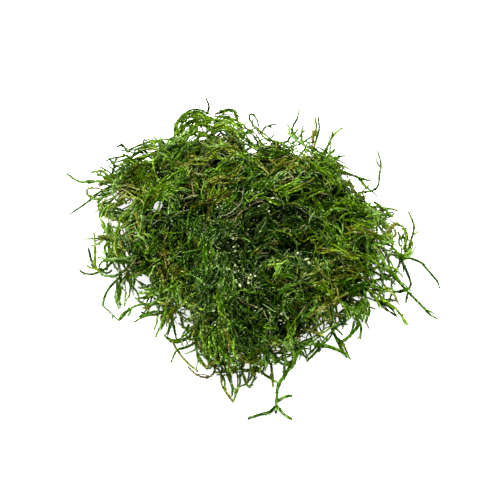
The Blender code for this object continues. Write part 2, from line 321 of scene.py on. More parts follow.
# Dark hollows between the shoots of the top, as a pixel and a radius in pixels
POCKETS = {
    "upper": (226, 228, 6.0),
    "upper_low": (241, 232, 6.0),
    "upper_left": (217, 247, 8.0),
    "right": (289, 246, 7.0),
    "right_end": (303, 246, 7.0),
    "right_high": (297, 198, 7.0),
    "upper_middle": (273, 207, 6.0),
    "left_high": (201, 186, 6.0),
    "left_low": (193, 262, 6.0),
    "middle_low": (268, 306, 7.0),
    "low_left": (210, 300, 5.0),
    "low_right": (307, 300, 7.0),
    "far_right": (347, 262, 4.0),
    "left_middle": (176, 232, 6.0),
    "left_middle_end": (186, 240, 5.0),
    "front": (285, 330, 7.0),
    "front_end": (297, 326, 5.0),
    "middle_high": (262, 217, 6.0),
    "low_end": (245, 318, 6.0),
    "bundle_side": (214, 218, 5.0),
    "right_middle": (274, 226, 5.0),
    "middle_high_right": (290, 214, 5.0),
    "left_top": (196, 214, 5.0),
    "middle_right_end": (320, 230, 5.0),
    "middle_deep": (258, 246, 5.0),
}
POCKET_DEPTH = 5.0
HOLLOW_SHADE = 0.045
CREST, CREST_GIVE = 23.0, 0.42

GAP_RAYS = [(sight(px, py), radius * VIEW_WIDTH / PHOTO_PIXELS) for px, py, radius in GAPS.values()]


def hollows():
    """How much the heap's top sinks at each grid place for the dark hollows."""
    x, y = np.meshgrid(GRID_LINE, GRID_LINE, indexing="ij")
    depth = np.zeros(x.shape)
    for px, py, radius in POCKETS.values():
        place = seen_on_heap(px, py, 0.0)
        away = np.hypot(x - place[0], y - place[1]) / (radius * VIEW_WIDTH / PHOTO_PIXELS)
        depth = np.maximum(depth, POCKET_DEPTH * np.exp(-(away**2)))
    return depth


HOLLOWS = hollows()
LUMPS = LUMPS - HOLLOWS


def flow_grids():
    """The flow as an axis at each grid place: the cosine and sine of twice its heading."""
    x, y = np.meshgrid(GRID_LINE, GRID_LINE, indexing="ij")
    places = np.stack([x.ravel(), y.ravel(), top_height(x.ravel(), y.ravel())], -1)
    pixels = photo_pixels(places)
    cosine, sine = np.zeros(len(places)), np.zeros(len(places))
    for px, py, degrees in FLOWS.values():
        angle = math.radians(degrees)
        heading = math.atan2(math.sin(angle) / math.sin(VIEW_ELEVATION), math.cos(angle))
        away = np.hypot(pixels[:, 0] - px, pixels[:, 1] - py)
        weight = np.exp(-((away / FLOW_BREADTH) ** 2)) + 0.02 / (1 + away / FLOW_BREADTH) ** 3
        cosine += weight * math.cos(2 * heading)
        sine += weight * math.sin(2 * heading)
    return cosine.reshape(x.shape), sine.reshape(x.shape)


FLOW_COSINE, FLOW_SINE = flow_grids()


def flow_heading(x, y, near):
    """The heading of the flow, in the one of its two senses that is nearer to a heading."""
    axis = 0.5 * np.arctan2(read_grid(FLOW_SINE, x, y), read_grid(FLOW_COSINE, x, y))
    return axis + math.pi * np.round((near - axis) / math.pi)


def push_from_line(points, ray, radius):
    """Bends shoots around a sight line, so that none crosses the round gap along it."""
    away = points - EYE
    across = away - np.outer(away @ ray, ray)
    distance = np.linalg.norm(across, axis=1)
    wanted = np.where(distance < 2 * radius, radius + distance / 2, distance)
    return points + across * ((wanted - distance) / np.maximum(distance, 0.05))[:, None]


def open_gaps(points):
    for ray, radius in GAP_RAYS:
        points = push_from_line(points, ray, radius)
    points[:, 2] = np.maximum(points[:, 2], LOWEST)
    return points


def settled(points, size):
    """The same line pressed down above the crest, and lifted off the table by its own thickness."""
    crest = np.maximum(points[:, 2] - CREST, 0)
    points[:, 2] = np.minimum(points[:, 2], CREST) + CREST_GIVE * crest
    points[:, 2] = np.maximum(points[:, 2], max(LOWEST, 0.5 * size))
    return points


# Open and thin places, as a pixel, a radius in pixels and the share of shoots that end there
CLEARINGS = {
    "front_left_hole": (143, 283, 8.0, 0.95),
    "front_left_hole_low": (134, 296, 5.0, 0.9),
    "front_left_hole_side": (112, 298, 6.0, 0.6),
    "front_left_outside": (104, 285, 9.0, 0.9),
    "front_left_below": (140, 320, 9.0, 0.9),
    "front_left_notch": (183, 312, 6.0, 0.9),
    "front_left_notch_low": (184, 330, 6.0, 0.9),
    "left_rim": (114, 225, 3.5, 0.7),
    "left_rim_low": (106, 245, 3.5, 0.9),
    "right_low": (391, 268, 4.0, 0.8),
    "right_lower": (398, 275, 5.0, 0.8),
    "wedge": (341, 311, 4.0, 0.9),
    "wedge_low": (333, 319, 3.5, 0.6),
    "wedge_right": (345, 331, 8.0, 0.9),
    "front_right": (308, 340, 3.5, 0.7),
    "front_right_side": (322, 338, 3.0, 0.4),
    "front_right_low": (334, 345, 4.0, 0.9),
    "front_low": (262, 379, 5.0, 0.9),
    "front_low_left": (204, 372, 8.0, 0.85),
    "wedge_far": (354, 338, 9.0, 0.9),
    "right": (397, 240, 4.5, 0.9),
    "thin_left": (108, 226, 12.0, 0.35),
    "thin_left_high": (108, 198, 10.0, 0.6),
    "thin_left_low": (106, 250, 9.0, 0.5),
    "thin_left_inner": (150, 211, 8.0, 0.5),
    "thin_right_back": (354, 184, 13.0, 0.9),
    "thin_right_back_low": (368, 195, 9.0, 0.7),
    "thin_right": (388, 224, 14.0, 0.6),
    "thin_right_low": (386, 254, 10.0, 0.6),
    "thin_back_right": (306, 148, 13.0, 0.75),
    "thin_back_right_inner": (284, 148, 9.0, 0.5),
    "thin_back_notch": (250, 137, 12.0, 0.85),
    "thin_front_left": (187, 314, 6.0, 0.7),
    "thin_lobe": (205, 134, 12.0, 0.5),
    "front_right_slits": (301, 341, 3.0, 0.7),
    "front_right_slits_end": (281, 352, 8.0, 0.75),
    "front_left_bay": (190, 366, 7.0, 0.85),
    "right_back_hole": (347, 179, 6.0, 0.9),
    "right_back_outside": (366, 186, 8.0, 0.9),
    "thin_left_middle": (125, 207, 6.0, 0.8),
    "front_low_middle": (232, 386, 8.0, 0.85),
    "left_open_high": (142, 154, 9.0, 0.7),
    "left_open_back": (161, 142, 7.0, 0.7),
    "left_open_side": (100, 190, 8.0, 0.8),
    "left_open_low": (100, 243, 8.0, 0.8),
    "left_open_inner": (157, 206, 5.5, 0.75),
    "front_left_open": (135, 289, 7.0, 0.8),
    "front_left_open_right": (150, 301, 6.0, 0.8),
    "front_left_open_low": (161, 312, 5.0, 0.7),
    "front_left_side": (198, 358, 8.0, 0.9),
    "right_open": (389, 253, 7.0, 0.85),
    "right_open_high": (377, 229, 6.0, 0.8),
    "right_back_notch": (352, 172, 8.0, 0.85),
    "right_back_top": (340, 158, 7.0, 0.85),
    "back_open": (262, 142, 9.0, 0.85),
    "back_open_right": (288, 146, 6.0, 0.5),
    "lobe_open": (205, 133, 7.0, 0.8),
    "lobe_open_left": (185, 120, 6.0, 0.5),
    "lobe_open_right": (236, 120, 7.0, 0.8),
    "lobe_open_end": (247, 134, 6.0, 0.8),
    "left_open_middle": (137, 203, 3.0, 0.5),
    "left_open_top": (146, 158, 7.0, 0.8),
    "right_open_low": (386, 262, 4.5, 0.7),
    "right_back_rim_low": (346, 214, 5.0, 0.5),
    "lobe_open_low": (221, 134, 6.0, 0.85),
    "front_slit": (186, 324, 6.0, 0.8),
    "front_slit_left": (162, 325, 6.0, 0.8),
    "left_open_rim": (97, 208, 6.0, 0.8),
    "left_open_knot": (122, 230, 5.0, 0.7),
    "back_open_low": (254, 152, 5.0, 0.7),
    "back_open_far": (296, 154, 5.0, 0.6),
    "front_right_end": (306, 367, 7.0, 0.9),
    "front_right_edge": (322, 350, 6.0, 0.8),
    "right_low_outside": (402, 288, 7.0, 0.85),
    "left_high": (142, 154, 9.0, 0.7),
    "front_right_bay": (338, 324, 8.0, 0.9),
    "left_far_low": (98, 262, 6.0, 0.7),
    "left_side_high": (112, 190, 6.0, 0.6),
    "thin_middle_left": (136, 218, 6.0, 0.4),
    "front_tip_right": (275, 367, 5.0, 0.6),
    "front_tip_low": (246, 374, 6.0, 0.7),
    "right_back_high": (352, 162, 9.0, 0.9),
    "right_back_far": (366, 172, 8.0, 0.8),
    "right_back_hole_end": (357, 189, 5.0, 0.9),
    "back_right_open": (303, 152, 8.0, 0.8),
    "back_notch_open": (245, 135, 8.0, 0.9),
    "front_left_low": (170, 338, 6.0, 0.8),
    "lobe_open_side": (170, 124, 6.0, 0.7),
    "lobe_open_base": (192, 138, 5.0, 0.7),
    "right_far_open": (386, 250, 5.0, 0.6),
    "front_left_hole_end": (133, 284, 6.0, 0.85),
    "front_left_open_mid": (146, 300, 7.0, 0.85),
    "back_slit": (277, 141, 5.0, 0.7),
    "left_outside": (93, 222, 8.0, 0.9),
    "right_low_gap": (379, 284, 5.0, 0.7),
    "right_top_outside": (391, 200, 8.0, 0.9),
    "back_tall_side": (284, 138, 5.0, 0.8),
    "front_tip_edge": (221, 373, 6.0, 0.6),
    "left_outside_low": (95, 240, 6.0, 0.8),
    "right_rim_hole": (344, 178, 3.5, 0.9),
    "right_rim_hole_low": (357, 187, 4.0, 0.9),
}


def outside_clearings(draw, shoots, every=False):
    """The same shoots, each cut where it would cross a clearing; no part stays that hangs on nothing."""
    kept = []
    for shoot in shoots:
        chance = 0.5 if every else draw.random()
        reach = draw.uniform(0.55, 1.15)
        if shoot.bearer and not shoot.bearer.kept[0] <= shoot.place < shoot.bearer.kept[1]:
            continue
        pixels = photo_pixels(shoot.points)
        inside = np.zeros(len(pixels), bool)
        for px, py, radius, share in CLEARINGS.values():
            if chance < share:
                limit = radius + 2.0 if every else radius * reach
                inside |= np.hypot(pixels[:, 0] - px, pixels[:, 1] - py) < limit
        if inside.any():
            share = heap_share(shoot.points[:, 0], shoot.points[:, 1])
            cuts = np.flatnonzero(inside)
            inner = int(np.argmin(np.where(inside, np.inf, share)))
            start = int(max(cuts[cuts < inner], default=-1)) + 1
            stop = int(min(cuts[cuts > inner], default=len(inside)))
            loose = share[start:stop].min(initial=2.0) > (0.97 if share[inside].min() > share[inner] else 0.92)
            shoot.kept = (0, 0) if inside.all() or stop - start < 3 or loose else (start, stop)
            if shoot.kept == (0, 0):
                continue
            shoot.points, shoot.tones = shoot.points[start:stop], shoot.tones[start:stop]
        kept.append(shoot)
    return kept


# Places where many leaves glint, as a pixel of the photo, a radius in pixels and the share of leaves
GLINTS = {
    "middle": (241, 278, 10, 0.13),
    "middle_low": (256, 287, 8, 0.09),
    "middle_high": (234, 258, 7, 0.06),
    "upper": (262, 205, 14, 0.04),
    "front": (225, 310, 12, 0.06),
    "front_left": (190, 318, 8, 0.05),
    "low_right": (282, 312, 12, 0.05),
    "right": (300, 258, 12, 0.05),
    "left": (165, 195, 14, 0.03),
    "left_middle": (218, 212, 10, 0.06),
    "middle_left": (232, 242, 8, 0.06),
    "low_left": (215, 300, 10, 0.06),
}
COMMON_GLINTS = 0.022

# How much lighter or darker the moss is at places of the photo, partly its own colour and partly painted light and
# shade, as a pixel, a radius in pixels and a step
TONES = {
    "lobe_left": (194, 120, 18, -0.12),
    "upper_left": (198, 212, 22, -0.06),
    "right_flow": (342, 206, 14, -0.06),
    "middle_right": (300, 228, 20, -0.06),
    "left_low": (172, 250, 14, -0.04),
    "right_low": (366, 284, 18, -0.06),
    "low_right": (318, 318, 16, -0.06),
    "khaki": (300, 266, 12, 0.14),
    "speckled": (246, 276, 18, 0.18),
    "back_right": (300, 152, 24, 0.06),
    "back_notch": (252, 138, 14, 0.08),
    "left_rim": (108, 214, 20, 0.06),
    "right_rim": (384, 230, 20, 0.05),
    "shoulder": (312, 194, 18, -0.08),
    "upper_left_low": (204, 208, 16, -0.08),
    "upper_left_end": (198, 219, 12, -0.06),
    "upper_middle": (253, 208, 10, -0.18),
    "right_row": (350, 206, 14, -0.06),
    "dark_right": (286, 238, 15, -0.12),
    "left_inner": (168, 240, 12, -0.08),
    "left_lower": (148, 260, 13, -0.08),
    "bundle_low": (210, 272, 12, 0.14),
    "pale_row": (278, 264, 14, 0.08),
    "low_middle": (257, 290, 7, -0.04),
    "low_dark": (280, 290, 13, -0.10),
    "low_left_dark": (232, 300, 7, -0.08),
    "front_dark": (290, 326, 10, -0.10),
    "front_left_light": (200, 322, 14, 0.06),
    "front_light": (264, 340, 12, 0.06),
    "right_low_light": (320, 312, 10, 0.08),
    "khaki_low": (306, 278, 8, 0.10),
    "middle": (258, 236, 44, -0.05),
    "left_low_rim": (128, 276, 12, -0.08),
    "left_high": (134, 172, 14, -0.06),
    "right_shoulder_dark": (318, 192, 9, -0.06),
    "bundle_side": (196, 262, 9, 0.10),
    "upper_left_light": (196, 190, 9, 0.16),
    "upper_light": (278, 180, 9, 0.14),
    "low_right_light": (314, 311, 10, 0.04),
    "low_left_row": (172, 280, 10, -0.06),
    "right_low_rim": (374, 282, 9, -0.10),
    "front_right_row": (288, 290, 10, -0.06),
    "left_rim_low": (140, 262, 10, -0.08),
    "yellow": (328, 262, 9, 0.10),
    "left_upper_inner": (160, 214, 9, 0.10),
    "right_flow_light": (340, 215, 9, 0.14),
    "front_shade": (246, 358, 16, -0.06),
    "dark_right_end": (304, 246, 10, -0.12),
    "middle_row": (230, 260, 7, -0.10),
    "left_top_dark": (182, 212, 9, -0.08),
    "front_left_inner": (190, 344, 10, 0.0),
    "left_row_light": (150, 218, 12, 0.10),
    "left_light": (130, 204, 12, 0.10),
    "front_left_bright": (134, 290, 14, 0.08),
    "front_right_light": (290, 346, 10, 0.10),
    "front_middle_light": (232, 344, 9, 0.04),
    "khaki_end": (302, 280, 7, 0.10),
    "upper_row": (226, 177, 10, -0.14),
    "upper_right_dark": (286, 191, 9, -0.12),
    "upper_right_low": (279, 211, 10, -0.10),
    "front_deep": (293, 321, 9, -0.14),
    "left_end": (98, 190, 14, 0.16),
    "left_side_light": (106, 242, 13, 0.10),
    "right_side_light": (386, 256, 12, 0.08),
    "front_edge_light": (232, 338, 12, 0.10),
    "right_flow_end": (336, 200, 7, -0.10),
    "left_flow_dark": (146, 200, 8, -0.08),
    "upper_mid_dark": (208, 208, 9, -0.18),
    "middle_left_dark": (228, 242, 9, -0.12),
    "middle_upper_dark": (252, 224, 6, -0.10),
    "low_left_dots": (204, 285, 7, -0.08),
    "low_right_dark": (330, 297, 9, -0.16),
    "right_row_dark": (321, 200, 8, -0.14),
    "khaki_right": (315, 263, 10, 0.20),
    "right_inner_dark": (354, 253, 9, -0.10),
    "front_inner_dark": (280, 331, 9, -0.18),
    "low_right_rim": (348, 296, 9, -0.10),
    "left_low_inner": (168, 279, 9, -0.12),
    "back_row_dark": (276, 152, 7, -0.12),
    "front_left_dark": (224, 352, 9, -0.08),
    "left_inner_spot": (168, 260, 8, 0.10),
    "middle_spot": (240, 248, 7, 0.06),
    "front_white_gap": (288, 346, 8, 0.14),
    "left_foot_lighter": (180, 320, 8, 0.10),
}


def tone_at(points):
    """The step in lightness at each point of a shoot."""
    pixels = photo_pixels(points)
    x, y, z = points.T
    buried = np.clip((top_height(x, y) + 2.0 - z) / 2.0, 0, 1)
    tones = -HOLLOW_SHADE * read_grid(HOLLOWS, x, y) * buried
    for px, py, radius, step in TONES.values():
        tones += step * np.exp(-(np.hypot(pixels[:, 0] - px, pixels[:, 1] - py) / radius) ** 2)
    return tones


def glint_share(place):
    pixel = photo_pixels(place[None])[0]
    shares = [share for px, py, radius, share in GLINTS.values() if math.hypot(pixel[0] - px, pixel[1] - py) < radius]
    return max(shares, default=COMMON_GLINTS)


# Shoots

class Shoot:
    """A centre line from foot to tip, with how thick and leafy it is and where it lies on the palette."""

    def __init__(self, points, size, hue, light, leafy=1.0, tip_light=0.12):
        self.points = settled(even_steps(points), size)
        self.tones = tone_at(self.points)
        self.glints = glint_share(self.points[len(self.points) // 2])
        self.size = size
        self.hue = hue
        self.light = light
        self.leafy = leafy
        self.tip_light = tip_light
        self.bearer = None
        self.place = 0
        self.kept = (0, len(self.points))

    def length(self):
        return (len(self.points) - 1) * STEM_STEP


def even_steps(points):
    """The same line with its points about STEM_STEP apart."""
    run = np.concatenate([[0.0], np.cumsum(np.linalg.norm(np.diff(points, axis=0), axis=1))])
    count = max(int(round(run[-1] / STEM_STEP)), 2)
    places = np.linspace(0, run[-1], count + 1)
    return np.stack([np.interp(places, run, points[:, axis]) for axis in range(3)], -1)


def smooth_line(points, pieces=6):
    """A smooth curve through a few points."""
    points = np.asarray(points, float)
    padded = np.concatenate([2 * points[:1] - points[1:2], points, 2 * points[-1:] - points[-2:-1]])
    line = []
    for before, start, end, after in zip(padded, padded[1:], padded[2:], padded[3:]):
        for t in np.arange(pieces) / pieces:
            bend = 2 * before - 5 * start + 4 * end - after
            twist = 3 * start - before - 3 * end + after
            line.append(0.5 * (2 * start + (end - before) * t + bend * t**2 + twist * t**3))
    return np.array(line + [points[-1]])


def lay_over_heap(draw, count, shares, depths, lengths, spread, lift=0.0, dive=2.0, wave=0.8, loose=1.0):
    """Lines that follow the flow of the heap's top at their own depth, one for each shoot."""
    walk_step = 0.6
    longest = max(lengths)
    steps = int(longest / walk_step)
    angle = draw.uniform(0, TURN, count)
    share = np.sqrt(draw.uniform(shares[0] ** 2, shares[1] ** 2, count))
    reach = outline_reach(angle) * share
    x = HEAP_CENTRE[0] + reach * np.cos(angle)
    y = HEAP_CENTRE[1] + reach * np.sin(angle)
    own = draw.normal(0, spread, count) * (1 - 0.5 * np.clip((share - 0.55) / 0.4, 0, 1))
    sense = draw.uniform(0, TURN, count)
    curl = draw.normal(0, 0.05 if spread < 1 else 0.11, count)
    swing = draw.uniform(0.2, 0.7, count)
    pace = TURN / draw.uniform(9, 24, count)
    phase = draw.uniform(0, TURN, count)
    length = draw.uniform(lengths[0], lengths[1], count)
    base = flow_heading(x, y, sense)
    heading = base + own
    x = x - np.cos(heading) * length / 2
    y = y - np.sin(heading) * length / 2
    outside = np.maximum(heap_share(x, y) / 0.97, 1.0)
    x = HEAP_CENTRE[0] + (x - HEAP_CENTRE[0]) / outside
    y = HEAP_CENTRE[1] + (y - HEAP_CENTRE[1]) / outside
    track = np.zeros((steps + 1, count, 2))
    for step in range(steps + 1):
        track[step] = np.stack([x, y], -1)
        run = step * walk_step
        base = flow_heading(x, y, base)
        heading = base + own + curl * run + swing * np.sin(pace * run + phase)
        x = x + np.cos(heading) * walk_step
        y = y + np.sin(heading) * walk_step
    top = top_height(track[..., 0], track[..., 1])
    shares_along = heap_share(track[..., 0], track[..., 1])
    run = np.arange(steps + 1) * walk_step
    depth = draw.uniform(depths[0], depths[1], count)
    waves = draw.uniform(0.3, 1.0, count) * wave
    wave_pace = TURN / draw.uniform(5, 13, count)
    wave_phase = draw.uniform(0, TURN, count)
    rise = np.where(draw.random(count) < 0.4, draw.uniform(1.0, 3.5, count), -dive)
    arch = np.where(draw.random(count) < 0.15, draw.uniform(1.5, 4.0, count), 0) * lift
    dense = dense_share(track[0, :, 0], track[0, :, 1])
    stop_share = dense + (1.06 - dense) * draw.random(count) * loose + draw.normal(0, 0.02, count)
    lines = []
    for index in range(count):
        inside = (run <= length[index]) & (shares_along[:, index] < stop_share[index])
        stop = len(run) if inside.all() else int(np.argmin(inside))
        if stop * walk_step < 4.0:
            continue
        ends = run[:stop] / run[stop - 1]
        low = dive * np.exp(-run[:stop] / 3.0)
        high = rise[index] * np.clip((run[:stop] - run[stop - 1]) / 6.0 + 1, 0, 1) ** 2
        weave = waves[index] * np.sin(wave_pace[index] * run[:stop] + wave_phase[index])
        arc = arch[index] * np.sin(math.pi * ends) ** 2
        height = top[:stop, index] - depth[index] - low + high + weave + arc
        line = np.column_stack([track[:stop, index], np.maximum(height, LOWEST)])
        lines.append(line)
    return lines


def lock_of(draw, guide, count, breadth):
    """Lines that run along a guide side by side and over each other, each over its own part of it."""
    guide = even_steps(guide)
    along = directions(guide)
    aside, over = across_frame(along)
    run = np.arange(len(guide)) * STEM_STEP
    lines = []
    for member in range(count):
        reach = breadth * draw.random() ** 0.6
        turn = draw.uniform(0, TURN) + draw.normal(0, 0.12) * run
        fan = 1 + draw.uniform(-0.3, 0.9) * run / run[-1]
        wander = draw.uniform(0.1, 0.5) * np.sin(run * TURN / draw.uniform(5, 12) + draw.uniform(0, TURN))
        offset = (reach * np.cos(turn) * fan + wander)[:, None] * aside
        offset = offset + (0.6 * reach * np.sin(turn) * fan)[:, None] * over
        first = int(draw.uniform(0, 0.35) * len(guide))
        last = len(guide) - int(draw.uniform(0, 0.35) * len(guide))
        if last - first < 4:
            continue
        line = (guide + offset)[first:last]
        line[:, 2] = np.maximum(line[:, 2], LOWEST)
        lines.append(line)
    return lines


# Patches of colour on the heap, as a pixel of the photo, a radius in pixels, a hue and its share
PATCHES = {
    "back_left_lobe": (215, 128, 26, GRASS, 0.8),
    "left_lobe": (165, 150, 20, GRASS, 0.6),
    "left_bright": (158, 190, 18, GRASS, 0.7),
    "back_right_bright": (285, 155, 20, GRASS, 0.35),
    "back_olive": (285, 162, 26, OLIVE, 0.3),
    "right_bright": (350, 220, 28, GRASS, 0.6),
    "right_low_bright": (370, 285, 18, GRASS, 0.6),
    "front_bright": (235, 350, 30, GRASS, 0.5),
    "left_front_bright": (150, 290, 22, GRASS, 0.6),
    "upper_bundle": (206, 255, 12, GRASS, 0.8),
    "olive_back": (218, 152, 12, OLIVE, 0.5),
    "olive_left": (125, 195, 14, OLIVE, 0.45),
    "olive_arc": (212, 198, 14, OLIVE, 0.6),
    "brown_left": (170, 268, 22, OLIVE, 0.4),
    "brown_low_left": (135, 232, 10, BROWN, 0.35),
    "yellow_right": (317, 242, 9, LIME, 0.6),
    "olive_low_right": (320, 300, 30, OLIVE, 0.3),
    "deep_middle": (240, 245, 42, WET, 0.75),
    "deep_right": (290, 235, 30, WET, 0.6),
    "deep_low": (240, 300, 34, WET, 0.65),
    "deep_left": (190, 215, 22, DEEP, 0.35),
}


def branchlets(draw, shoot, spacing):
    """Short side shoots that leave their shoot at an angle and bend forward."""
    made = []
    along = directions(shoot.points)
    first, second = across_frame(along)
    run = draw.uniform(1.0, spacing)
    while run < shoot.length() - 0.5:
        index = int(run / STEM_STEP)
        turn = draw.uniform(0, TURN)
        out = first[index] * math.cos(turn) + second[index] * math.sin(turn)
        length = draw.uniform(1.4, 4.5)
        steps = np.linspace(0, 1, 5)[:, None]
        start = along[index] * 0.6 + out * 0.8
        line = shoot.points[index] + length * (start * steps + (along[index] - start) * 0.35 * steps**2)
        line[:, 2] = np.maximum(line[:, 2], LOWEST)
        size = shoot.size * draw.uniform(0.6, 0.85)
        side = Shoot(line, size, shoot.hue + draw.normal(0, 0.02), shoot.light + 0.05, shoot.leafy)
        side.bearer, side.place = shoot, index
        made.append(side)
        run += draw.uniform(0.6, 1.4) * spacing
    return made


def hue_and_light(draw, line, depth_shade):
    """The palette place of a shoot, from the patch of the photo in which its middle shows."""
    middle = line[len(line) // 2]
    pixel = photo_pixels(middle[None])[0]
    share = float(heap_share(middle[:1], middle[1:2])[0])
    rim = max(share - 0.6, 0) / 0.4
    hue = draw.choice([DEEP, DEEP, DEEP, FOREST, FOREST, FOREST, FOREST, GRASS, GRASS, GRASS, OLIVE])
    if draw.random() < rim:
        hue = draw.choice([FOREST, FOREST, GRASS, GRASS, GRASS, LIME, OLIVE])
    for px, py, radius, patch_hue, patch_share in PATCHES.values():
        away = math.hypot(pixel[0] - px, pixel[1] - py) / radius
        if away < 1 and draw.random() < patch_share:
            hue = patch_hue
    hue = hue + draw.normal(0, 0.035)
    # Painted light and shade: a lower layer's step darkens a shoot as shade, less so near the rim, where shoots are
    # painted lighter as light shines through
    light = 0.37 + depth_shade * (1 - 0.9 * rim) + 0.15 * rim + draw.normal(0, 0.1)
    return float(np.clip(hue, 0.03, 0.97)), float(np.clip(light, 0.05, 0.9))


def top_shoots(draw):
    """The leafy shoots of the top, in three layers: the top one, a lower one and a lowest, barer one, the lower ones
    painted darker as shade.
    """
    shoots = []
    for guides, most, share, depths, lengths, spread, lift, leafy, light, wave, spacing in (
        (190, 7, 0.96, (-0.5, 1.2), (9, 22), 0.6, 0.8, 1.1, 0.04, 1.8, 9.0),
        (480, 1, 0.97, (-0.6, 0.9), (5, 16), 1.6, 1.0, 1.1, 0.05, 2.0, 6.0),
        (150, 7, 0.94, (1.0, 2.8), (12, 24), 0.9, 0.3, 0.8, -0.16, 1.6, 14.0),
        (260, 1, 0.9, (2.8, 5.0), (14, 26), 1.6, 0.0, 0.6, -0.32, 1.4, 40.0),
    ):
        loose = 1.0 if lift >= 0.8 else 0.35
        for guide in lay_over_heap(draw, guides, (0.0, share), depths, lengths, spread, lift, 2.0, wave, loose):
            hue, tone = hue_and_light(draw, guide, light)
            count = 1 if most == 1 else int(draw.integers(3, most + 1))
            lines = [guide] if most == 1 else lock_of(draw, guide, count, draw.uniform(0.8, 2.4))
            for line in lines:
                edge = float(heap_share(line[-1:, 0], line[-1:, 1])[0])
                size = draw.uniform(0.5, 0.98) + 0.2 * np.clip((edge - 0.75) / 0.2, 0, 1)
                own_hue = hue + draw.normal(0, 0.03)
                if draw.random() < 0.5:
                    own_hue = hue_and_light(draw, line, light)[0]
                if draw.random() < 0.02:
                    own_hue, size = STRAW, 0.45
                shoot = Shoot(open_gaps(line), size, own_hue, tone + draw.normal(0, 0.07), leafy)
                shoots.append(shoot)
                shoots += branchlets(draw, shoot, spacing)
    return shoots


def twig_shoots(draw):
    """Thin, nearly bare old stems that show between the leafy ones, most of them in the dark middle."""
    shoots = []
    for line in lay_over_heap(draw, 190, (0.0, 0.62), (-0.8, 1.0), (4, 13), 1.6, 0.6, 1.0, 1.2):
        hue = draw.choice([BROWN, BROWN, OLIVE, STRAW, STRAW, PALE, DEEP]) + draw.normal(0, 0.02)
        shoots.append(Shoot(open_gaps(line), draw.uniform(0.35, 0.62), hue, draw.uniform(0.1, 0.4), 0.35))
    return shoots


# Dark middle of the heap, as pixels of the photo and radii in pixels
MIDDLE = {
    "main": (262, 246, 62, 46),
    "low": (246, 300, 54, 30),
    "left": (196, 236, 34, 30),
}


def middle_shoots(draw):
    """Short curled shoots, fine and dark, that cover the heap's middle."""
    shoots = []
    for px, py, across, down in MIDDLE.values():
        centre = seen_on_heap(px, py, 0.0)
        for index in range(int(across * down * 0.19)):
            turn, away = draw.uniform(0, TURN), math.sqrt(draw.random())
            x = centre[0] + away * math.cos(turn) * across * VIEW_WIDTH / PHOTO_PIXELS
            y = centre[1] + away * math.sin(turn) * down * VIEW_WIDTH / PHOTO_PIXELS / math.sin(VIEW_ELEVATION)
            top = float(top_height(np.array([x]), np.array([y]))[0])
            heading = float(flow_heading(x, y, draw.uniform(0, TURN))) + draw.normal(0, 0.7)
            foot = (x, y, top - draw.uniform(0.0, 1.8))
            line = free_line(
                draw, foot, heading, draw.uniform(0.1, 0.8), draw.uniform(3.5, 10.5), draw.normal(0, 0.2),
                draw.uniform(0.1, 0.3),
            )
            hue = draw.choice([SHADE_BLACK, DEEP, DEEP, WET, WET, WET, FOREST]) + draw.normal(0, 0.03)
            shoots.append(Shoot(open_gaps(line), draw.uniform(0.38, 0.66), hue, 0.31 + draw.normal(0, 0.15), 0.8))
    return shoots


def fleck_shoots(draw):
    """Small bent bits of old pale stem where the moss is wet, their paleness and lightness painted as glints."""
    shoots = []
    for px, py, radius, share in GLINTS.values():
        centre = seen_on_heap(px, py, 0.0)
        for index in range(int(share * radius**2 * 3.0)):
            turn, away = draw.uniform(0, TURN), math.sqrt(draw.random()) * radius * VIEW_WIDTH / PHOTO_PIXELS
            x = centre[0] + away * math.cos(turn)
            y = centre[1] + away * math.sin(turn) / math.sin(VIEW_ELEVATION)
            top = float(top_height(np.array([x]), np.array([y]))[0])
            heading = float(flow_heading(x, y, draw.uniform(0, TURN))) + draw.normal(0, 0.5)
            foot = (x, y, top + draw.uniform(-0.6, 1.0))
            line = free_line(
                draw, foot, heading, draw.uniform(-0.2, 0.4), 2.4, draw.normal(0, 0.4), draw.uniform(0.0, 0.3)
            )
            line = line[0] + (line - line[0]) * draw.uniform(0.15, 0.45)
            hue = draw.choice([STRAW, PALE, PALE]) + draw.normal(0, 0.02)
            shoots.append(Shoot(line, draw.uniform(0.5, 1.2), hue, draw.uniform(0.15, 0.9), 0.0))
    return shoots


CORE_SHARE = 0.82
SHADE_BLACK_SHARE = 0.6
RIM_CORE_SHARE = 0.96


def core_shoots(draw):
    """Old, bare shoots that fill the inside of the heap, painted dark as its shade: nearly black in its middle, deep
    green near its foot.
    """
    shoots = []
    for line in lay_over_heap(draw, 700, (0.0, 0.92), (4.5, 16.0), (14, 22), 1.6, 0.0, 0.0, 1.0, 0.0):
        size, shade = draw.uniform(2.0, 3.2), draw.random()
        share = heap_share(line[:, 0], line[:, 1])
        line = open_gaps(line)[share < CORE_SHARE]
        # Painted shade: near black in the middle of the heap, deep green towards its rim
        hue, light = (SHADE_BLACK + 0.04 * shade, 0.2) if share.mean() < SHADE_BLACK_SHARE else (WET + 0.12 * shade, 0.3)
        if len(line) > 2:
            shoots.append(Shoot(line, size, hue, light, 0.0, 0.0))
    for line in lay_over_heap(draw, 260, (0.72, 0.97), (1.5, 6.0), (6, 13), 1.6, 0.0, 0.0, 1.0, 0.0):
        size, shade = draw.uniform(1.2, 2.0), draw.random()
        line = open_gaps(line)[heap_share(line[:, 0], line[:, 1]) < RIM_CORE_SHARE]
        if len(line) > 2:
            shoots.append(Shoot(line, size, WET + 0.15 * shade, 0.38, 0.0, 0.0))
    return shoots


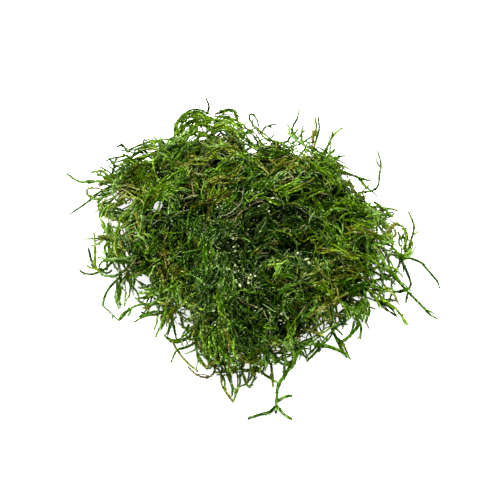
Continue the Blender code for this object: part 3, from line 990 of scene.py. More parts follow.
def under_shoots(draw):
    """The felt of old shoots that has grown over the wires, and a few that have grown through them."""
    shoots = []
    half = (WIRES_EACH_WAY - 1) * WIRE_PITCH / 2
    for line in lay_over_heap(draw, 400, (0.0, 0.92), (4.0, 8.0), (10, 22), 1.6, 0.0, 0.0, 0.6, 0.0):
        away = line[:, :2] - MESH_CENTRE
        along = away @ [math.cos(MESH_TURN), math.sin(MESH_TURN)]
        aside = away @ [-math.sin(MESH_TURN), math.cos(MESH_TURN)]
        over = np.maximum(np.abs(along), np.abs(aside)) < half + 2.5
        level = draw.uniform(0.3, 2.6) + 0.4 * np.sin(np.arange(len(line)) * 0.4 + draw.uniform(0, TURN))
        line[:, 2] = np.where(over, MESH_TOP, LOWEST) + np.maximum(level, 0.25)
        hue = draw.choice([DEEP, FOREST, OLIVE, BROWN]) + draw.normal(0, 0.03)
        shoots.append(Shoot(line, draw.uniform(0.8, 1.5), hue, 0.3 + draw.normal(0, 0.1), 0.4))
    cells = (np.arange(WIRES_EACH_WAY - 1) - (WIRES_EACH_WAY - 2) / 2) * WIRE_PITCH
    for first in cells:
        for second in cells:
            for index in range(3):
                u = first + draw.uniform(-0.3, 0.3) * WIRE_PITCH
                v = second + draw.uniform(-0.3, 0.3) * WIRE_PITCH
                x = MESH_CENTRE[0] + u * math.cos(MESH_TURN) - v * math.sin(MESH_TURN)
                y = MESH_CENTRE[1] + u * math.sin(MESH_TURN) + v * math.cos(MESH_TURN)
                heading = draw.uniform(0, TURN)
                lean = draw.uniform(0.3, 1.6)
                foot = (x - lean * math.cos(heading), y - lean * math.sin(heading), draw.uniform(2.6, 4.0))
                tip = (x + 0.6 * math.cos(heading), y + 0.6 * math.sin(heading), draw.uniform(LOWEST, 1.2))
                line = smooth_line([foot, (x, y, 1.9), tip], 3)
                hue = draw.choice([FOREST, GRASS, OLIVE]) + draw.normal(0, 0.03)
                shoots.append(Shoot(line, draw.uniform(0.6, 1.0), hue, 0.36 + draw.normal(0, 0.1)))
    return shoots


def flank_shoots(draw):
    """Shoots on the steep side of the heap, which the view from above counts too few of."""
    shoots = []
    for line in lay_over_heap(draw, 240, (0.82, 0.97), (-0.3, 2.5), (8, 20), 1.2, 0.6):
        hue, tone = hue_and_light(draw, line, 0.0)
        shoot = Shoot(open_gaps(line), draw.uniform(0.7, 1.25), hue, tone)
        shoots.append(shoot)
        shoots += branchlets(draw, shoot, 6.0)
    return shoots


def free_line(draw, foot, heading, climb, length, curl, droop):
    """A line that starts in one direction, turns by curl to a side and sinks by droop."""
    steps = max(int(length / 0.6), 4)
    place = np.array(foot, float)
    line = [place.copy()]
    for step in range(steps):
        run = step * 0.6
        turn = heading + curl * run
        slope = climb - droop * run
        ahead = np.array([math.cos(turn) * math.cos(slope), math.sin(turn) * math.cos(slope), math.sin(slope)])
        place = place + ahead * 0.6
        place[2] = max(place[2], LOWEST)
        line.append(place.copy())
    return np.array(line)


RIM_COUNT = 170
RIM_SHARE = 1.06
FAN_COUNT = 90


def rim_place(angle, share):
    reach = float(outline_reach(np.array([angle]))[0]) * share
    x = HEAP_CENTRE[0] + reach * math.cos(angle)
    y = HEAP_CENTRE[1] + reach * math.sin(angle)
    return x, y, float(top_height(np.array([x]), np.array([y]))[0])


def rim_shoots(draw):
    """Long loose shoots that leave the heap, sink to the table and bend along its rim."""
    shoots = []
    for index in range(RIM_COUNT):
        angle = TURN * (index + draw.uniform(-0.5, 0.5)) / RIM_COUNT
        x, y, top = rim_place(angle, draw.uniform(0.74, 0.92))
        foot = (x, y, LOWEST + (top - LOWEST) * draw.uniform(0.05, 0.8))
        line = free_line(
            draw, foot, angle + draw.normal(0, 0.8), draw.normal(0.1, 0.3), draw.uniform(7, 17),
            draw.normal(0, 0.1), draw.uniform(0.02, 0.1),
        )
        share = heap_share(line[:, 0], line[:, 1])
        limit = RIM_SHARE + draw.normal(0, 0.03)
        inward = np.minimum(limit / share, 1.0)[:, None]
        line[:, :2] = HEAP_CENTRE + (line[:, :2] - HEAP_CENTRE) * inward
        line[:, 2] = np.maximum(line[:, 2], draw.uniform(LOWEST, 2.5))
        hue = draw.choice([FOREST, FOREST, GRASS, GRASS, GRASS, OLIVE]) + draw.normal(0, 0.03)
        # Painted lighter than the top's shoots, as light shines through the loose rim
        shoot = Shoot(open_gaps(line), draw.uniform(0.9, 1.5), hue, 0.46 + draw.normal(0, 0.09))
        shoots.append(shoot)
        shoots += branchlets(draw, shoot, 7.0)
    return shoots


def fringe_shoots(draw):
    """Small fans of shoots that stand out from the rim at every height."""
    shoots = []
    for index in range(FAN_COUNT):
        angle = TURN * (index + draw.uniform(-0.5, 0.5)) / FAN_COUNT
        share = draw.uniform(0.78, 0.95)
        x, y, top = rim_place(angle, share)
        foot = (x, y, LOWEST + (top - LOWEST) * draw.uniform(0.05, 0.95))
        heading = angle + draw.normal(0, 0.6)
        room = (1 - share) * 42 + draw.normal(1.8, 1.2)
        curl, climb = draw.normal(0, 0.09), draw.normal(0.1, 0.3)
        hue = draw.choice([FOREST, FOREST, GRASS, GRASS, OLIVE]) + draw.normal(0, 0.03)
        for member in range(int(draw.integers(1, 4))):
            length = float(np.clip(room * draw.uniform(0.8, 1.5), 3.0, 13.0))
            line = free_line(
                draw, foot, heading + draw.normal(0, 0.3), climb + draw.normal(0, 0.25), length,
                curl + draw.normal(0, 0.05), draw.uniform(0, 0.08),
            )
            # Painted lighter than the top's shoots, as light shines through the loose rim
            shoot = Shoot(open_gaps(line), draw.uniform(0.8, 1.4), hue, 0.44 + draw.normal(0, 0.09))
            shoots.append(shoot)
            shoots += branchlets(draw, shoot, 7.0)
    return shoots


# Locks at the rim, as a number of shoots, a breadth, a hue and a guide line: pixels of the photo and heights
RIM_LOCKS = {
    "lobe_outline": (11, 0.8, GRASS, [(174, 141, 9), (177, 131, 10), (180, 123, 11), (187, 116, 12), (196, 114, 12), (206, 117, 12), (214, 119, 12)]),
    "lobe_outline_low": (8, 0.7, GRASS, [(176, 143, 8), (179, 134, 9), (184, 127, 10), (192, 122, 11), (200, 123, 12), (208, 121, 12), (219, 122, 12)]),
    "lobe_inner": (6, 0.5, GRASS, [(183, 144, 9), (189, 134, 10), (197, 124, 11), (207, 123, 12), (214, 127, 12)]),
    "lobe_between_gaps": (5, 0.4, GRASS, [(190, 143, 10), (200, 135, 11), (208, 136, 12), (216, 131, 12), (228, 129, 12)]),
    "lobe_right": (7, 1.2, GRASS, [(213, 118, 12), (226, 118, 12), (237, 123, 11), (243, 132, 10), (246, 142, 9)]),
    "lobe_right_inner": (6, 1.1, GRASS, [(218, 123, 12), (228, 124, 12), (236, 130, 11), (240, 140, 10)]),
    "lobe_olive_band": (6, 0.7, OLIVE, [(200, 151, 11), (211, 144, 12), (222, 140, 12), (235, 134, 11), (243, 131, 10)]),
    "back_arch_fine": (2, 0.3, FOREST, [(216, 115, 12), (224, 111, 13), (233, 110, 14), (236, 116, 13), (238, 124, 10)]),
    "back_loop": (1, 0.1, FOREST, [(259, 129, 11), (253, 125, 12), (249, 117, 14), (251, 114, 15), (256, 118, 14), (259, 127, 12)]),
    "back_tuft": (3, 0.7, GRASS, [(254, 124, 12), (259, 129, 12), (266, 136, 11), (274, 143, 11)]),
    "back_tuft_left": (2, 0.4, FOREST, [(257, 128, 12), (252, 129, 12), (246, 132, 11), (238, 138, 11)]),
    "back_tuft_flat": (3, 0.5, GRASS, [(262, 131, 11), (268, 139, 11), (279, 142, 11), (291, 147, 11)]),
    "back_slope": (3, 0.9, GRASS, [(243, 135, 10), (251, 143, 11), (262, 149, 12), (274, 153, 13)]),
    "back_right_cluster": (4, 0.6, OLIVE, [(311, 155, 11), (313, 146, 12), (315, 136, 13), (316, 126, 14), (315, 117, 15)]),
    "back_right_hair": (2, 0.4, STRAW, [(307, 145, 12), (311, 137, 12), (316, 126, 14), (319, 121, 15)]),
    "back_right_foot": (4, 0.7, FOREST, [(322, 160, 10), (316, 152, 11), (309, 147, 12), (301, 143, 12)]),
    "back_right_rim": (3, 0.5, GRASS, [(316, 149, 10), (329, 156, 10), (343, 166, 10), (357, 176, 10)]),
    "left_edge": (4, 0.6, FOREST, [(110, 159, 9), (117, 164, 9), (132, 156, 9), (147, 149, 10), (162, 144, 11), (174, 141, 11)]),
    "left_edge_high": (2, 0.5, FOREST, [(118, 147, 11), (126, 150, 10), (136, 151, 10), (148, 146, 11), (157, 139, 12)]),
    "left_edge_low": (4, 0.8, GRASS, [(110, 172, 8), (125, 165, 9), (138, 160, 10), (152, 156, 11), (168, 150, 12)]),
    "left_edge_lower": (5, 0.9, GRASS, [(104, 180, 7), (118, 174, 8), (132, 169, 9), (147, 164, 11)]),
    "left_sweep": (5, 0.7, FOREST, [(90, 199, 6), (97, 195, 6), (108, 190, 7), (121, 186, 8), (136, 183, 9)]),
    "left_sweep_high": (4, 0.6, OLIVE, [(94, 186, 7), (103, 183, 7), (115, 181, 8), (130, 178, 9)]),
    "left_sweep_low": (3, 0.4, GRASS, [(97, 201, 5), (106, 205, 6), (116, 204, 7), (128, 199, 8)]),
    "left_point": (4, 0.6, GRASS, [(98, 205, 5), (104, 212, 5), (113, 216, 6), (123, 219, 7)]),
    "left_rim_down": (6, 0.8, GRASS, [(101, 217, 4), (106, 229, 5), (110, 243, 5), (114, 257, 4), (120, 270, 3)]),
    "left_rim_inner": (5, 0.9, GRASS, [(111, 222, 6), (115, 236, 7), (119, 250, 6), (123, 262, 5)]),
    "left_rim_olive": (4, 0.7, OLIVE, [(117, 214, 7), (125, 223, 8), (130, 236, 8), (133, 248, 8)]),
    "front_left_strap": (5, 0.5, GRASS, [(118, 268, 3), (119, 283, 2), (119, 294, 1.5), (121, 308, 1)]),
    "front_left_ring": (1, 0.1, FOREST, [(122, 277, 3), (112, 284, 2), (107, 291, 1.5), (104, 298, 1), (103, 305, 1), (109, 311, 1), (118, 320, 1)]),
    "front_left_ring_low": (3, 0.4, GRASS, [(118, 320, 1), (123, 315, 1), (130, 310, 1.5), (138, 304, 2)]),
    "front_left_gap_edge": (1, 0.1, FOREST, [(129, 283, 3), (134, 288, 2), (138, 294, 2), (139, 301, 2)]),
    "front_left_gap_side": (2, 0.2, FOREST, [(135, 279, 4), (141, 285, 3), (147, 290, 3), (151, 296, 3)]),
    "front_left_twigs": (2, 0.4, FOREST, [(137, 321, 1), (143, 316, 1.5), (152, 314, 2), (163, 313, 3)]),
    "front_left_twig_high": (1, 0.2, FOREST, [(141, 312, 2), (148, 315, 1.5), (153, 311, 2)]),
    "front_left_tuft": (9, 1.6, GRASS, [(163, 287, 6), (166, 300, 5), (169, 314, 3), (172, 326, 2)]),
    "front_left_tuft_fan": (4, 1.0, GRASS, [(164, 300, 5), (163, 312, 3), (160, 322, 2), (156, 334, 1)]),
    "front_left_tuft_right": (3, 0.5, GRASS, [(170, 302, 5), (178, 315, 4), (187, 321, 3), (196, 322, 3)]),
    "front_left_branch": (3, 0.5, GRASS, [(178, 318, 3), (183, 326, 2), (190, 328, 2), (198, 322, 3)]),
    "front_low_branch": (2, 0.4, FOREST, [(165, 336, 1), (172, 341, 1.5), (181, 341, 2), (190, 334, 3), (198, 330, 4)]),
    "front_cup_left": (2, 0.3, GRASS, [(196, 337, 4), (197, 350, 2), (201, 363, 1), (208, 369, 1), (213, 360, 2)]),
    "front_cup_edge": (2, 0.4, GRASS, [(203, 345, 4), (205, 356, 3), (212, 364, 2), (219, 358, 3)]),
    "front_bottom": (2, 0.2, OLIVE, [(223, 374, 2), (222, 382, 2), (226, 392, 1.5), (232, 401, 1)]),
    "front_bottom_right": (2, 0.2, OLIVE, [(237, 372, 2), (239, 382, 2), (237, 393, 1), (234, 401, 1)]),
    "front_bottom_flat": (3, 0.5, GRASS, [(223, 372, 2), (238, 370, 2), (255, 371, 2), (268, 366, 2)]),
    "front_bottom_curl": (1, 0.1, FOREST, [(242, 370, 3), (244, 378, 1.5), (249, 387, 1), (254, 378, 1.5), (256, 368, 2)]),
    "front_right_flat": (3, 0.5, GRASS, [(292, 348, 3), (309, 345, 3), (324, 345, 2), (337, 350, 1), (349, 357, 1)]),
    "front_right_long": (2, 0.3, FOREST, [(307, 359, 1), (315, 350, 1), (325, 341, 2), (334, 330, 3), (342, 318, 3), (346, 307, 4)]),
    "front_right_cross": (3, 0.5, GRASS, [(283, 357, 1), (294, 350, 2), (307, 342, 3), (320, 333, 4), (330, 326, 5)]),
    "front_right_drop": (1, 0.2, OLIVE, [(331, 326, 3), (335, 336, 2), (339, 344, 1), (343, 354, 1)]),
    "front_right_hang": (2, 0.2, FOREST, [(357, 321, 2), (362, 326, 1.5), (361, 331, 1), (360, 336, 1), (357, 338, 1)]),
    "front_right_hang_far": (2, 0.3, GRASS, [(375, 296, 5), (377, 301, 4), (378, 306, 3)]),
    "front_right_twist": (2, 0.4, FOREST, [(354, 321, 3), (351, 331, 2), (344, 339, 1), (335, 343, 1)]),
    "right_low_lock": (5, 0.6, DEEP, [(372, 293, 6), (382, 301, 4), (391, 308, 3), (399, 314, 2)]),
    "right_low_arc": (3, 0.5, GRASS, [(374, 300, 5), (380, 291, 5), (389, 288, 4), (396, 292, 3)]),
    "right_knot": (8, 0.7, GRASS, [(395, 257, 7), (401, 258, 7), (407, 257, 7), (410, 250, 7), (411, 243, 8)]),
    "right_knot_foot": (3, 0.5, GRASS, [(385, 249, 8), (393, 249, 8), (398, 253, 8), (402, 257, 7)]),
    "right_knot_low": (2, 0.3, FOREST, [(384, 259, 8), (391, 255, 8), (397, 257, 8), (405, 258, 7)]),
    "right_arc_inner": (2, 0.2, FOREST, [(394, 229, 9), (398, 231, 10), (400, 237, 9), (401, 247, 8), (402, 255, 7)]),
    "right_arc_middle": (2, 0.2, GRASS, [(401, 229, 10), (404, 235, 10), (405, 241, 9), (404, 248, 8), (402, 255, 7)]),
    "right_arc_outer": (2, 0.2, FOREST, [(384, 215, 9), (388, 220, 9), (397, 224, 10), (402, 227, 10), (406, 232, 10), (408, 238, 9), (406, 246, 8), (404, 255, 7)]),
    "right_rim_top": (5, 0.7, GRASS, [(362, 206, 10), (374, 211, 10), (385, 216, 9), (393, 214, 9)]),
    "right_rim_net": (4, 0.8, GRASS, [(372, 222, 10), (381, 224, 9), (389, 231, 8), (392, 243, 7)]),
    "right_rim_net_low": (2, 0.8, GRASS, [(374, 240, 9), (382, 248, 8), (387, 259, 7), (387, 272, 5)]),
    "right_rim_strap": (2, 0.3, FOREST, [(376, 262, 8), (384, 266, 7), (392, 275, 6), (401, 284, 5), (411, 291, 4)]),
    "right_back_lock": (2, 0.6, GRASS, [(345, 172, 10), (357, 179, 10), (366, 190, 10), (376, 201, 10)]),
    "lobe_left_mass": (4, 0.8, GRASS, [(175, 145, 8), (179, 137, 9), (182, 130, 10), (186, 126, 10)]),
    "lobe_under_gap": (5, 0.6, OLIVE, [(196, 146, 10), (203, 143, 11), (213, 138, 12), (222, 131, 12)]),
    "wedge_strand": (1, 0.1, DEEP, [(349, 303, 5), (346, 308, 4), (337, 315, 3), (331, 326, 1)]),
    "wedge_strand_high": (1, 0.1, FOREST, [(358, 302, 5), (351, 308, 4), (346, 313, 3), (341, 317, 3)]),
    "wedge_net": (1, 0.1, DEEP, [(348, 304, 5), (345, 313, 3), (346, 321, 2), (341, 324, 2), (332, 327, 1)]),
    "wedge_net_cross": (1, 0.1, FOREST, [(344, 322, 2), (347, 314, 4), (353, 307, 5)]),
    "wedge_net_low": (1, 0.2, FOREST, [(339, 317, 3), (341, 322, 2), (346, 324, 2)]),
    "front_right_tuft": (8, 1.2, GRASS, [(360, 297, 6), (359, 307, 4), (357, 315, 3), (357, 322, 1.5)]),
    "front_right_tuft_far": (8, 1.0, GRASS, [(366, 298, 6), (366, 307, 4), (365, 315, 3), (363, 321, 1.5)]),
    "front_right_tuft_near": (5, 0.9, GRASS, [(352, 300, 6), (352, 307, 4), (351, 314, 3), (355, 320, 2)]),
    "front_right_club": (1, 0.1, FOREST, [(368, 304, 4), (370, 313, 3), (366, 320, 2), (369, 328, 1)]),
    "front_right_drop_far": (1, 0.2, FOREST, [(336, 337, 2), (342, 342, 1), (346, 350, 1), (349, 357, 1)]),
    "right_arc_clump": (4, 0.7, OLIVE, [(389, 236, 8), (391, 229, 9), (395, 225, 10), (399, 224, 10)]),
    "right_arc_hook": (2, 0.3, OLIVE, [(391, 238, 8), (395, 236, 9), (396, 230, 9), (393, 226, 10)]),
    "right_khaki_clump": (4, 0.7, OLIVE, [(382, 240, 8), (386, 236, 9), (390, 231, 9)]),
    "right_knot_tail": (1, 0.1, FOREST, [(400, 258, 7), (403, 265, 6), (404, 271, 5)]),
    "front_left_strap_right": (2, 0.3, GRASS, [(129, 284, 3), (127, 295, 2), (123, 305, 1), (121, 308, 1)]),
    "front_left_bridge": (2, 0.2, GRASS, [(127, 293, 3), (137, 301, 2), (143, 304, 2), (156, 304, 3), (165, 304, 4)]),
    "front_left_gap_tuft": (6, 0.9, GRASS, [(155, 290, 5), (150, 296, 4), (144, 299, 3), (139, 300, 2)]),
    "front_left_dark_tuft": (9, 1.3, FOREST, [(130, 266, 5), (130, 277, 4), (128, 285, 3), (127, 294, 2)]),
    "left_low_loop": (1, 0.1, FOREST, [(110, 256, 4), (104, 260, 3), (100, 264, 2), (99, 269, 1)]),
    "left_low_loop_end": (1, 0.1, FOREST, [(112, 270, 3), (108, 273, 2), (104, 272, 1.5), (102, 269, 1)]),
    "lobe_fill": (5, 0.9, GRASS, [(188, 121, 11), (198, 118, 12), (208, 119, 12), (218, 122, 12)]),
    "front_right_tuft_outer": (4, 0.8, GRASS, [(362, 292, 7), (369, 302, 5), (370, 310, 3)]),
    "front_bottom_middle": (2, 0.2, FOREST, [(230, 366, 3), (230, 378, 2), (232, 389, 1.5), (233, 400, 1)]),
    "front_edge_right": (3, 0.9, GRASS, [(242, 358, 4), (252, 361, 3), (262, 359, 3)]),
    "front_fringe": (3, 1.0, GRASS, [(266, 350, 3), (278, 352, 2), (291, 350, 2), (303, 346, 2)]),
    "front_fringe_low": (1, 0.3, GRASS, [(268, 357, 2), (280, 359, 1.5), (292, 355, 1.5), (301, 350, 2)]),
    "front_fringe_cross": (1, 0.2, GRASS, [(275, 364, 1), (283, 355, 2), (290, 347, 3)]),
    "front_fringe_end": (4, 0.5, FOREST, [(296, 345, 3), (303, 350, 2), (307, 358, 1)]),
    "front_fringe_high": (3, 0.8, GRASS, [(270, 343, 4), (281, 346, 3), (293, 345, 3), (306, 342, 3)]),
    "right_back_khaki": (7, 1.0, OLIVE, [(335, 189, 10), (344, 187, 10), (353, 191, 10)]),
    "right_back_row": (5, 0.9, FOREST, [(340, 196, 10), (351, 197, 10), (362, 200, 10)]),
    "left_fan_a": (2, 0.3, FOREST, [(116, 190, 7), (106, 194, 6), (98, 201, 6), (93, 208, 5)]),
    "left_fan_b": (2, 0.3, GRASS, [(120, 194, 8), (110, 199, 7), (100, 207, 6), (96, 212, 5)]),
    "front_right_tuft_low": (6, 1.0, GRASS, [(356, 304, 5), (358, 313, 3), (359, 322, 1.5)]),
    "left_low_fill": (6, 1.2, GRASS, [(111, 249, 5), (118, 256, 5), (125, 264, 4)]),
    "front_knot": (4, 0.6, FOREST, [(292, 350, 2), (299, 346, 3), (306, 343, 3), (314, 339, 3)]),
    "front_knot_high": (4, 0.8, GRASS, [(292, 340, 4), (300, 334, 4), (308, 331, 5)]),
    "right_inner_fill": (9, 1.6, GRASS, [(350, 258, 11), (360, 257, 11), (371, 257, 10), (380, 262, 8)]),
    "right_inner_fill_low": (7, 1.4, FOREST, [(354, 270, 10), (364, 270, 9), (374, 273, 8)]),
    "back_left_edge": (4, 0.8, GRASS, [(126, 153, 7), (138, 148, 8), (150, 144, 9), (164, 141, 9)]),
    "left_fan_c": (2, 0.5, GRASS, [(122, 184, 8), (109, 183, 8), (98, 182, 7), (90, 184, 6)]),
    "left_fan_d": (1, 0.3, FOREST, [(112, 194, 7), (103, 197, 6), (95, 199, 6), (88, 196, 6)]),
    "left_shoulder": (4, 1.0, GRASS, [(136, 198, 9), (126, 203, 8), (117, 208, 7), (110, 214, 6)]),
    "front_left_edge": (3, 0.8, FOREST, [(178, 312, 8), (172, 320, 6), (167, 328, 4), (163, 334, 3)]),
    "front_left_foot": (2, 0.6, FOREST, [(192, 316, 8), (187, 327, 6), (184, 338, 4), (188, 348, 3)]),
    "front_tip_left": (3, 0.7, GRASS, [(204, 350, 4), (211, 359, 3), (219, 368, 2)]),
    "front_spray_foot": (2, 0.4, GRASS, [(266, 348, 4), (272, 357, 2), (279, 364, 1)]),
    "right_foot": (4, 0.9, GRASS, [(378, 267, 8), (389, 271, 7), (398, 278, 6), (404, 286, 5)]),
    "right_shoulder": (4, 0.8, GRASS, [(370, 216, 10), (381, 219, 9), (391, 224, 8)]),
    "wedge_back": (4, 0.9, FOREST, [(322, 300, 9), (328, 306, 8), (331, 314, 6), (328, 322, 4)]),
    "front_tip_fill": (3, 0.7, FOREST, [(220, 362, 3), (225, 372, 2), (229, 384, 1), (232, 394, 1)]),
    "right_foot_low": (4, 0.9, FOREST, [(366, 280, 8), (374, 283, 7), (382, 288, 6), (390, 293, 5)]),
    "lobe_left_side": (3, 0.6, GRASS, [(172, 147, 9), (176, 137, 10), (180, 128, 11), (186, 121, 12)]),
}

# Locks that show on top of the heap, with a lift above it instead of heights
TOP_LOCKS = {
    "bright_bundle": (6, 0.7, FOREST, 1.3, [(203, 231), (206, 245), (206, 260), (206, 274), (204, 288)]),
    "bright_bundle_right": (3, 0.5, GRASS, 1.4, [(209, 236), (210, 250), (208, 262)]),
    "olive_arc": (5, 0.7, OLIVE, 1.0, [(190, 206), (201, 199), (213, 196), (224, 193), (233, 195)]),
    "pale_stem": (1, 0.1, PALE, 2.0, [(243, 186), (242, 196), (236, 204), (226, 212), (219, 215)]),
    "pale_stem_low": (1, 0.1, STRAW, 1.6, [(243, 203), (236, 209), (228, 215), (221, 219)]),
    "pale_hook": (1, 0.1, PALE, 1.6, [(173, 207), (177, 210), (179, 215), (180, 221)]),
    "pale_short": (1, 0.1, PALE, 1.6, [(195, 224), (190, 228), (187, 234)]),
    "upper_arc": (3, 0.4, GRASS, 1.2, [(254, 197), (262, 195), (271, 199), (281, 203), (288, 204)]),
    "upper_drop": (2, 0.3, FOREST, 1.2, [(281, 201), (287, 207), (291, 216), (293, 225)]),
    "upper_hook": (2, 0.3, FOREST, 1.2, [(297, 184), (301, 191), (301, 199), (305, 204)]),
    "long_dark": (3, 0.3, FOREST, 1.2, [(252, 247), (269, 238), (286, 234), (305, 232), (324, 232)]),
    "pale_flow": (3, 0.8, OLIVE, 0.8, [(256, 254), (265, 247), (276, 243), (288, 239)]),
    "yellow_loop": (2, 0.4, LIME, 1.4, [(314, 240), (319, 242), (317, 248), (322, 251), (329, 247)]),
    "yellow_loop_low": (2, 0.4, OLIVE, 1.2, [(317, 250), (324, 249), (332, 252), (338, 249)]),
    "green_arc": (3, 0.4, GRASS, 1.4, [(305, 284), (317, 284), (324, 290), (329, 298), (331, 304)]),
    "olive_sweep": (3, 0.5, OLIVE, 1.2, [(276, 279), (290, 284), (303, 287), (314, 284), (322, 277)]),
    "pale_curve": (2, 0.3, STRAW, 1.4, [(302, 311), (313, 309), (323, 306), (331, 301), (331, 293)]),
    "ring": (1, 0.1, OLIVE, 1.4, [(313, 298), (316, 295), (319, 298), (317, 302), (313, 301)]),
    "pale_stroke": (2, 0.8, STRAW, 1.0, [(238, 297), (246, 303), (255, 306), (264, 309)]),
    "front_strands": (5, 0.8, GRASS, 1.2, [(215, 286), (217, 298), (221, 310), (226, 322), (233, 333)]),
    "front_strands_left": (4, 0.6, FOREST, 1.2, [(228, 280), (223, 291), (221, 304), (222, 317)]),
    "straight_stem": (1, 0.1, OLIVE, 3.2, [(222, 325), (227, 335), (232, 345), (238, 355), (245, 361)]),
    "olive_tuft": (5, 0.9, OLIVE, 1.1, [(238, 354), (246, 360), (254, 360), (261, 352)]),
    "left_bright": (5, 0.8, GRASS, 1.2, [(146, 196), (157, 191), (167, 188), (178, 190)]),
    "left_bright_steep": (4, 0.6, GRASS, 1.4, [(141, 172), (147, 181), (152, 189), (160, 196)]),
    "left_olive": (4, 0.8, OLIVE, 1.0, [(134, 214), (137, 223), (140, 233), (146, 240)]),
    "brown_zone": (4, 0.9, OLIVE, 1.0, [(160, 262), (170, 268), (180, 270), (190, 276)]),
    "brown_zone_low": (3, 0.7, BROWN, 1.0, [(158, 250), (167, 257), (172, 266), (178, 275)]),
    "right_flow": (6, 1.0, GRASS, 1.2, [(325, 208), (340, 205), (356, 208), (371, 213)]),
    "right_flow_low": (6, 1.0, GRASS, 1.2, [(335, 222), (350, 218), (364, 222), (377, 228)]),
    "right_flow_lower": (5, 0.9, OLIVE, 1.2, [(340, 234), (355, 231), (368, 233), (378, 240)]),
    "right_khaki": (4, 1.2, OLIVE, 0.8, [(327, 262), (337, 258), (348, 255), (358, 258)]),
    "right_khaki_low": (4, 0.9, OLIVE, 0.8, [(330, 272), (342, 268), (354, 268), (365, 273)]),
    "low_right_flow": (5, 0.9, FOREST, 1.0, [(340, 300), (350, 293), (360, 287), (370, 284)]),
    "upper_left_flow": (5, 0.9, OLIVE, 1.2, [(178, 160), (190, 157), (203, 158), (214, 155)]),
    "upper_right_flow": (5, 0.9, OLIVE, 1.2, [(268, 165), (279, 158), (290, 156), (301, 160)]),
    "upper_right_steep": (4, 1.4, FOREST, 1.0, [(262, 185), (268, 176), (275, 168), (284, 160)]),
    "right_shoulder": (5, 0.9, GRASS, 1.4, [(308, 163), (320, 170), (331, 180), (340, 192)]),
    "straight_stem_low": (1, 0.1, OLIVE, 3.0, [(227, 337), (232, 346), (238, 355), (247, 362), (256, 360), (262, 352)]),
}


def named_locks(draw):
    """The locks that the photo shows one by one."""
    shoots = []
    # Rim locks are painted lighter than top locks, as light shines through the rim
    guides = [
        (count, breadth, hue, smooth_line([seen_at_height(*place) for place in places]), 0.44)
        for count, breadth, hue, places in RIM_LOCKS.values()
    ]
    guides += [
        (count, breadth, hue, smooth_line([seen_on_heap(px, py, lift) for px, py in places]), 0.33)
        for count, breadth, hue, lift, places in TOP_LOCKS.values()
    ]
    for count, breadth, hue, guide, light in guides:
        lines = [guide] if count == 1 else lock_of(draw, guide, count, breadth * 1.4)
        for line in lines:
            line = line.copy()
            line[:, 2] = np.maximum(line[:, 2], LOWEST)
            own_hue = hue + draw.normal(0, 0.03)
            pale = hue > 0.8
            size = draw.uniform(0.65, 1.1) * (0.7 if pale else 1.0) + (0.3 if count == 1 and not pale else 0.0)
            tone = light + draw.normal(0, 0.07) - (0.14 if pale else 0)
            shoot = Shoot(line, size, own_hue, tone, 0.4 if pale else 1.0)
            shoots.append(shoot)
            shoots += branchlets(draw, shoot, 14.0)
    return shoots


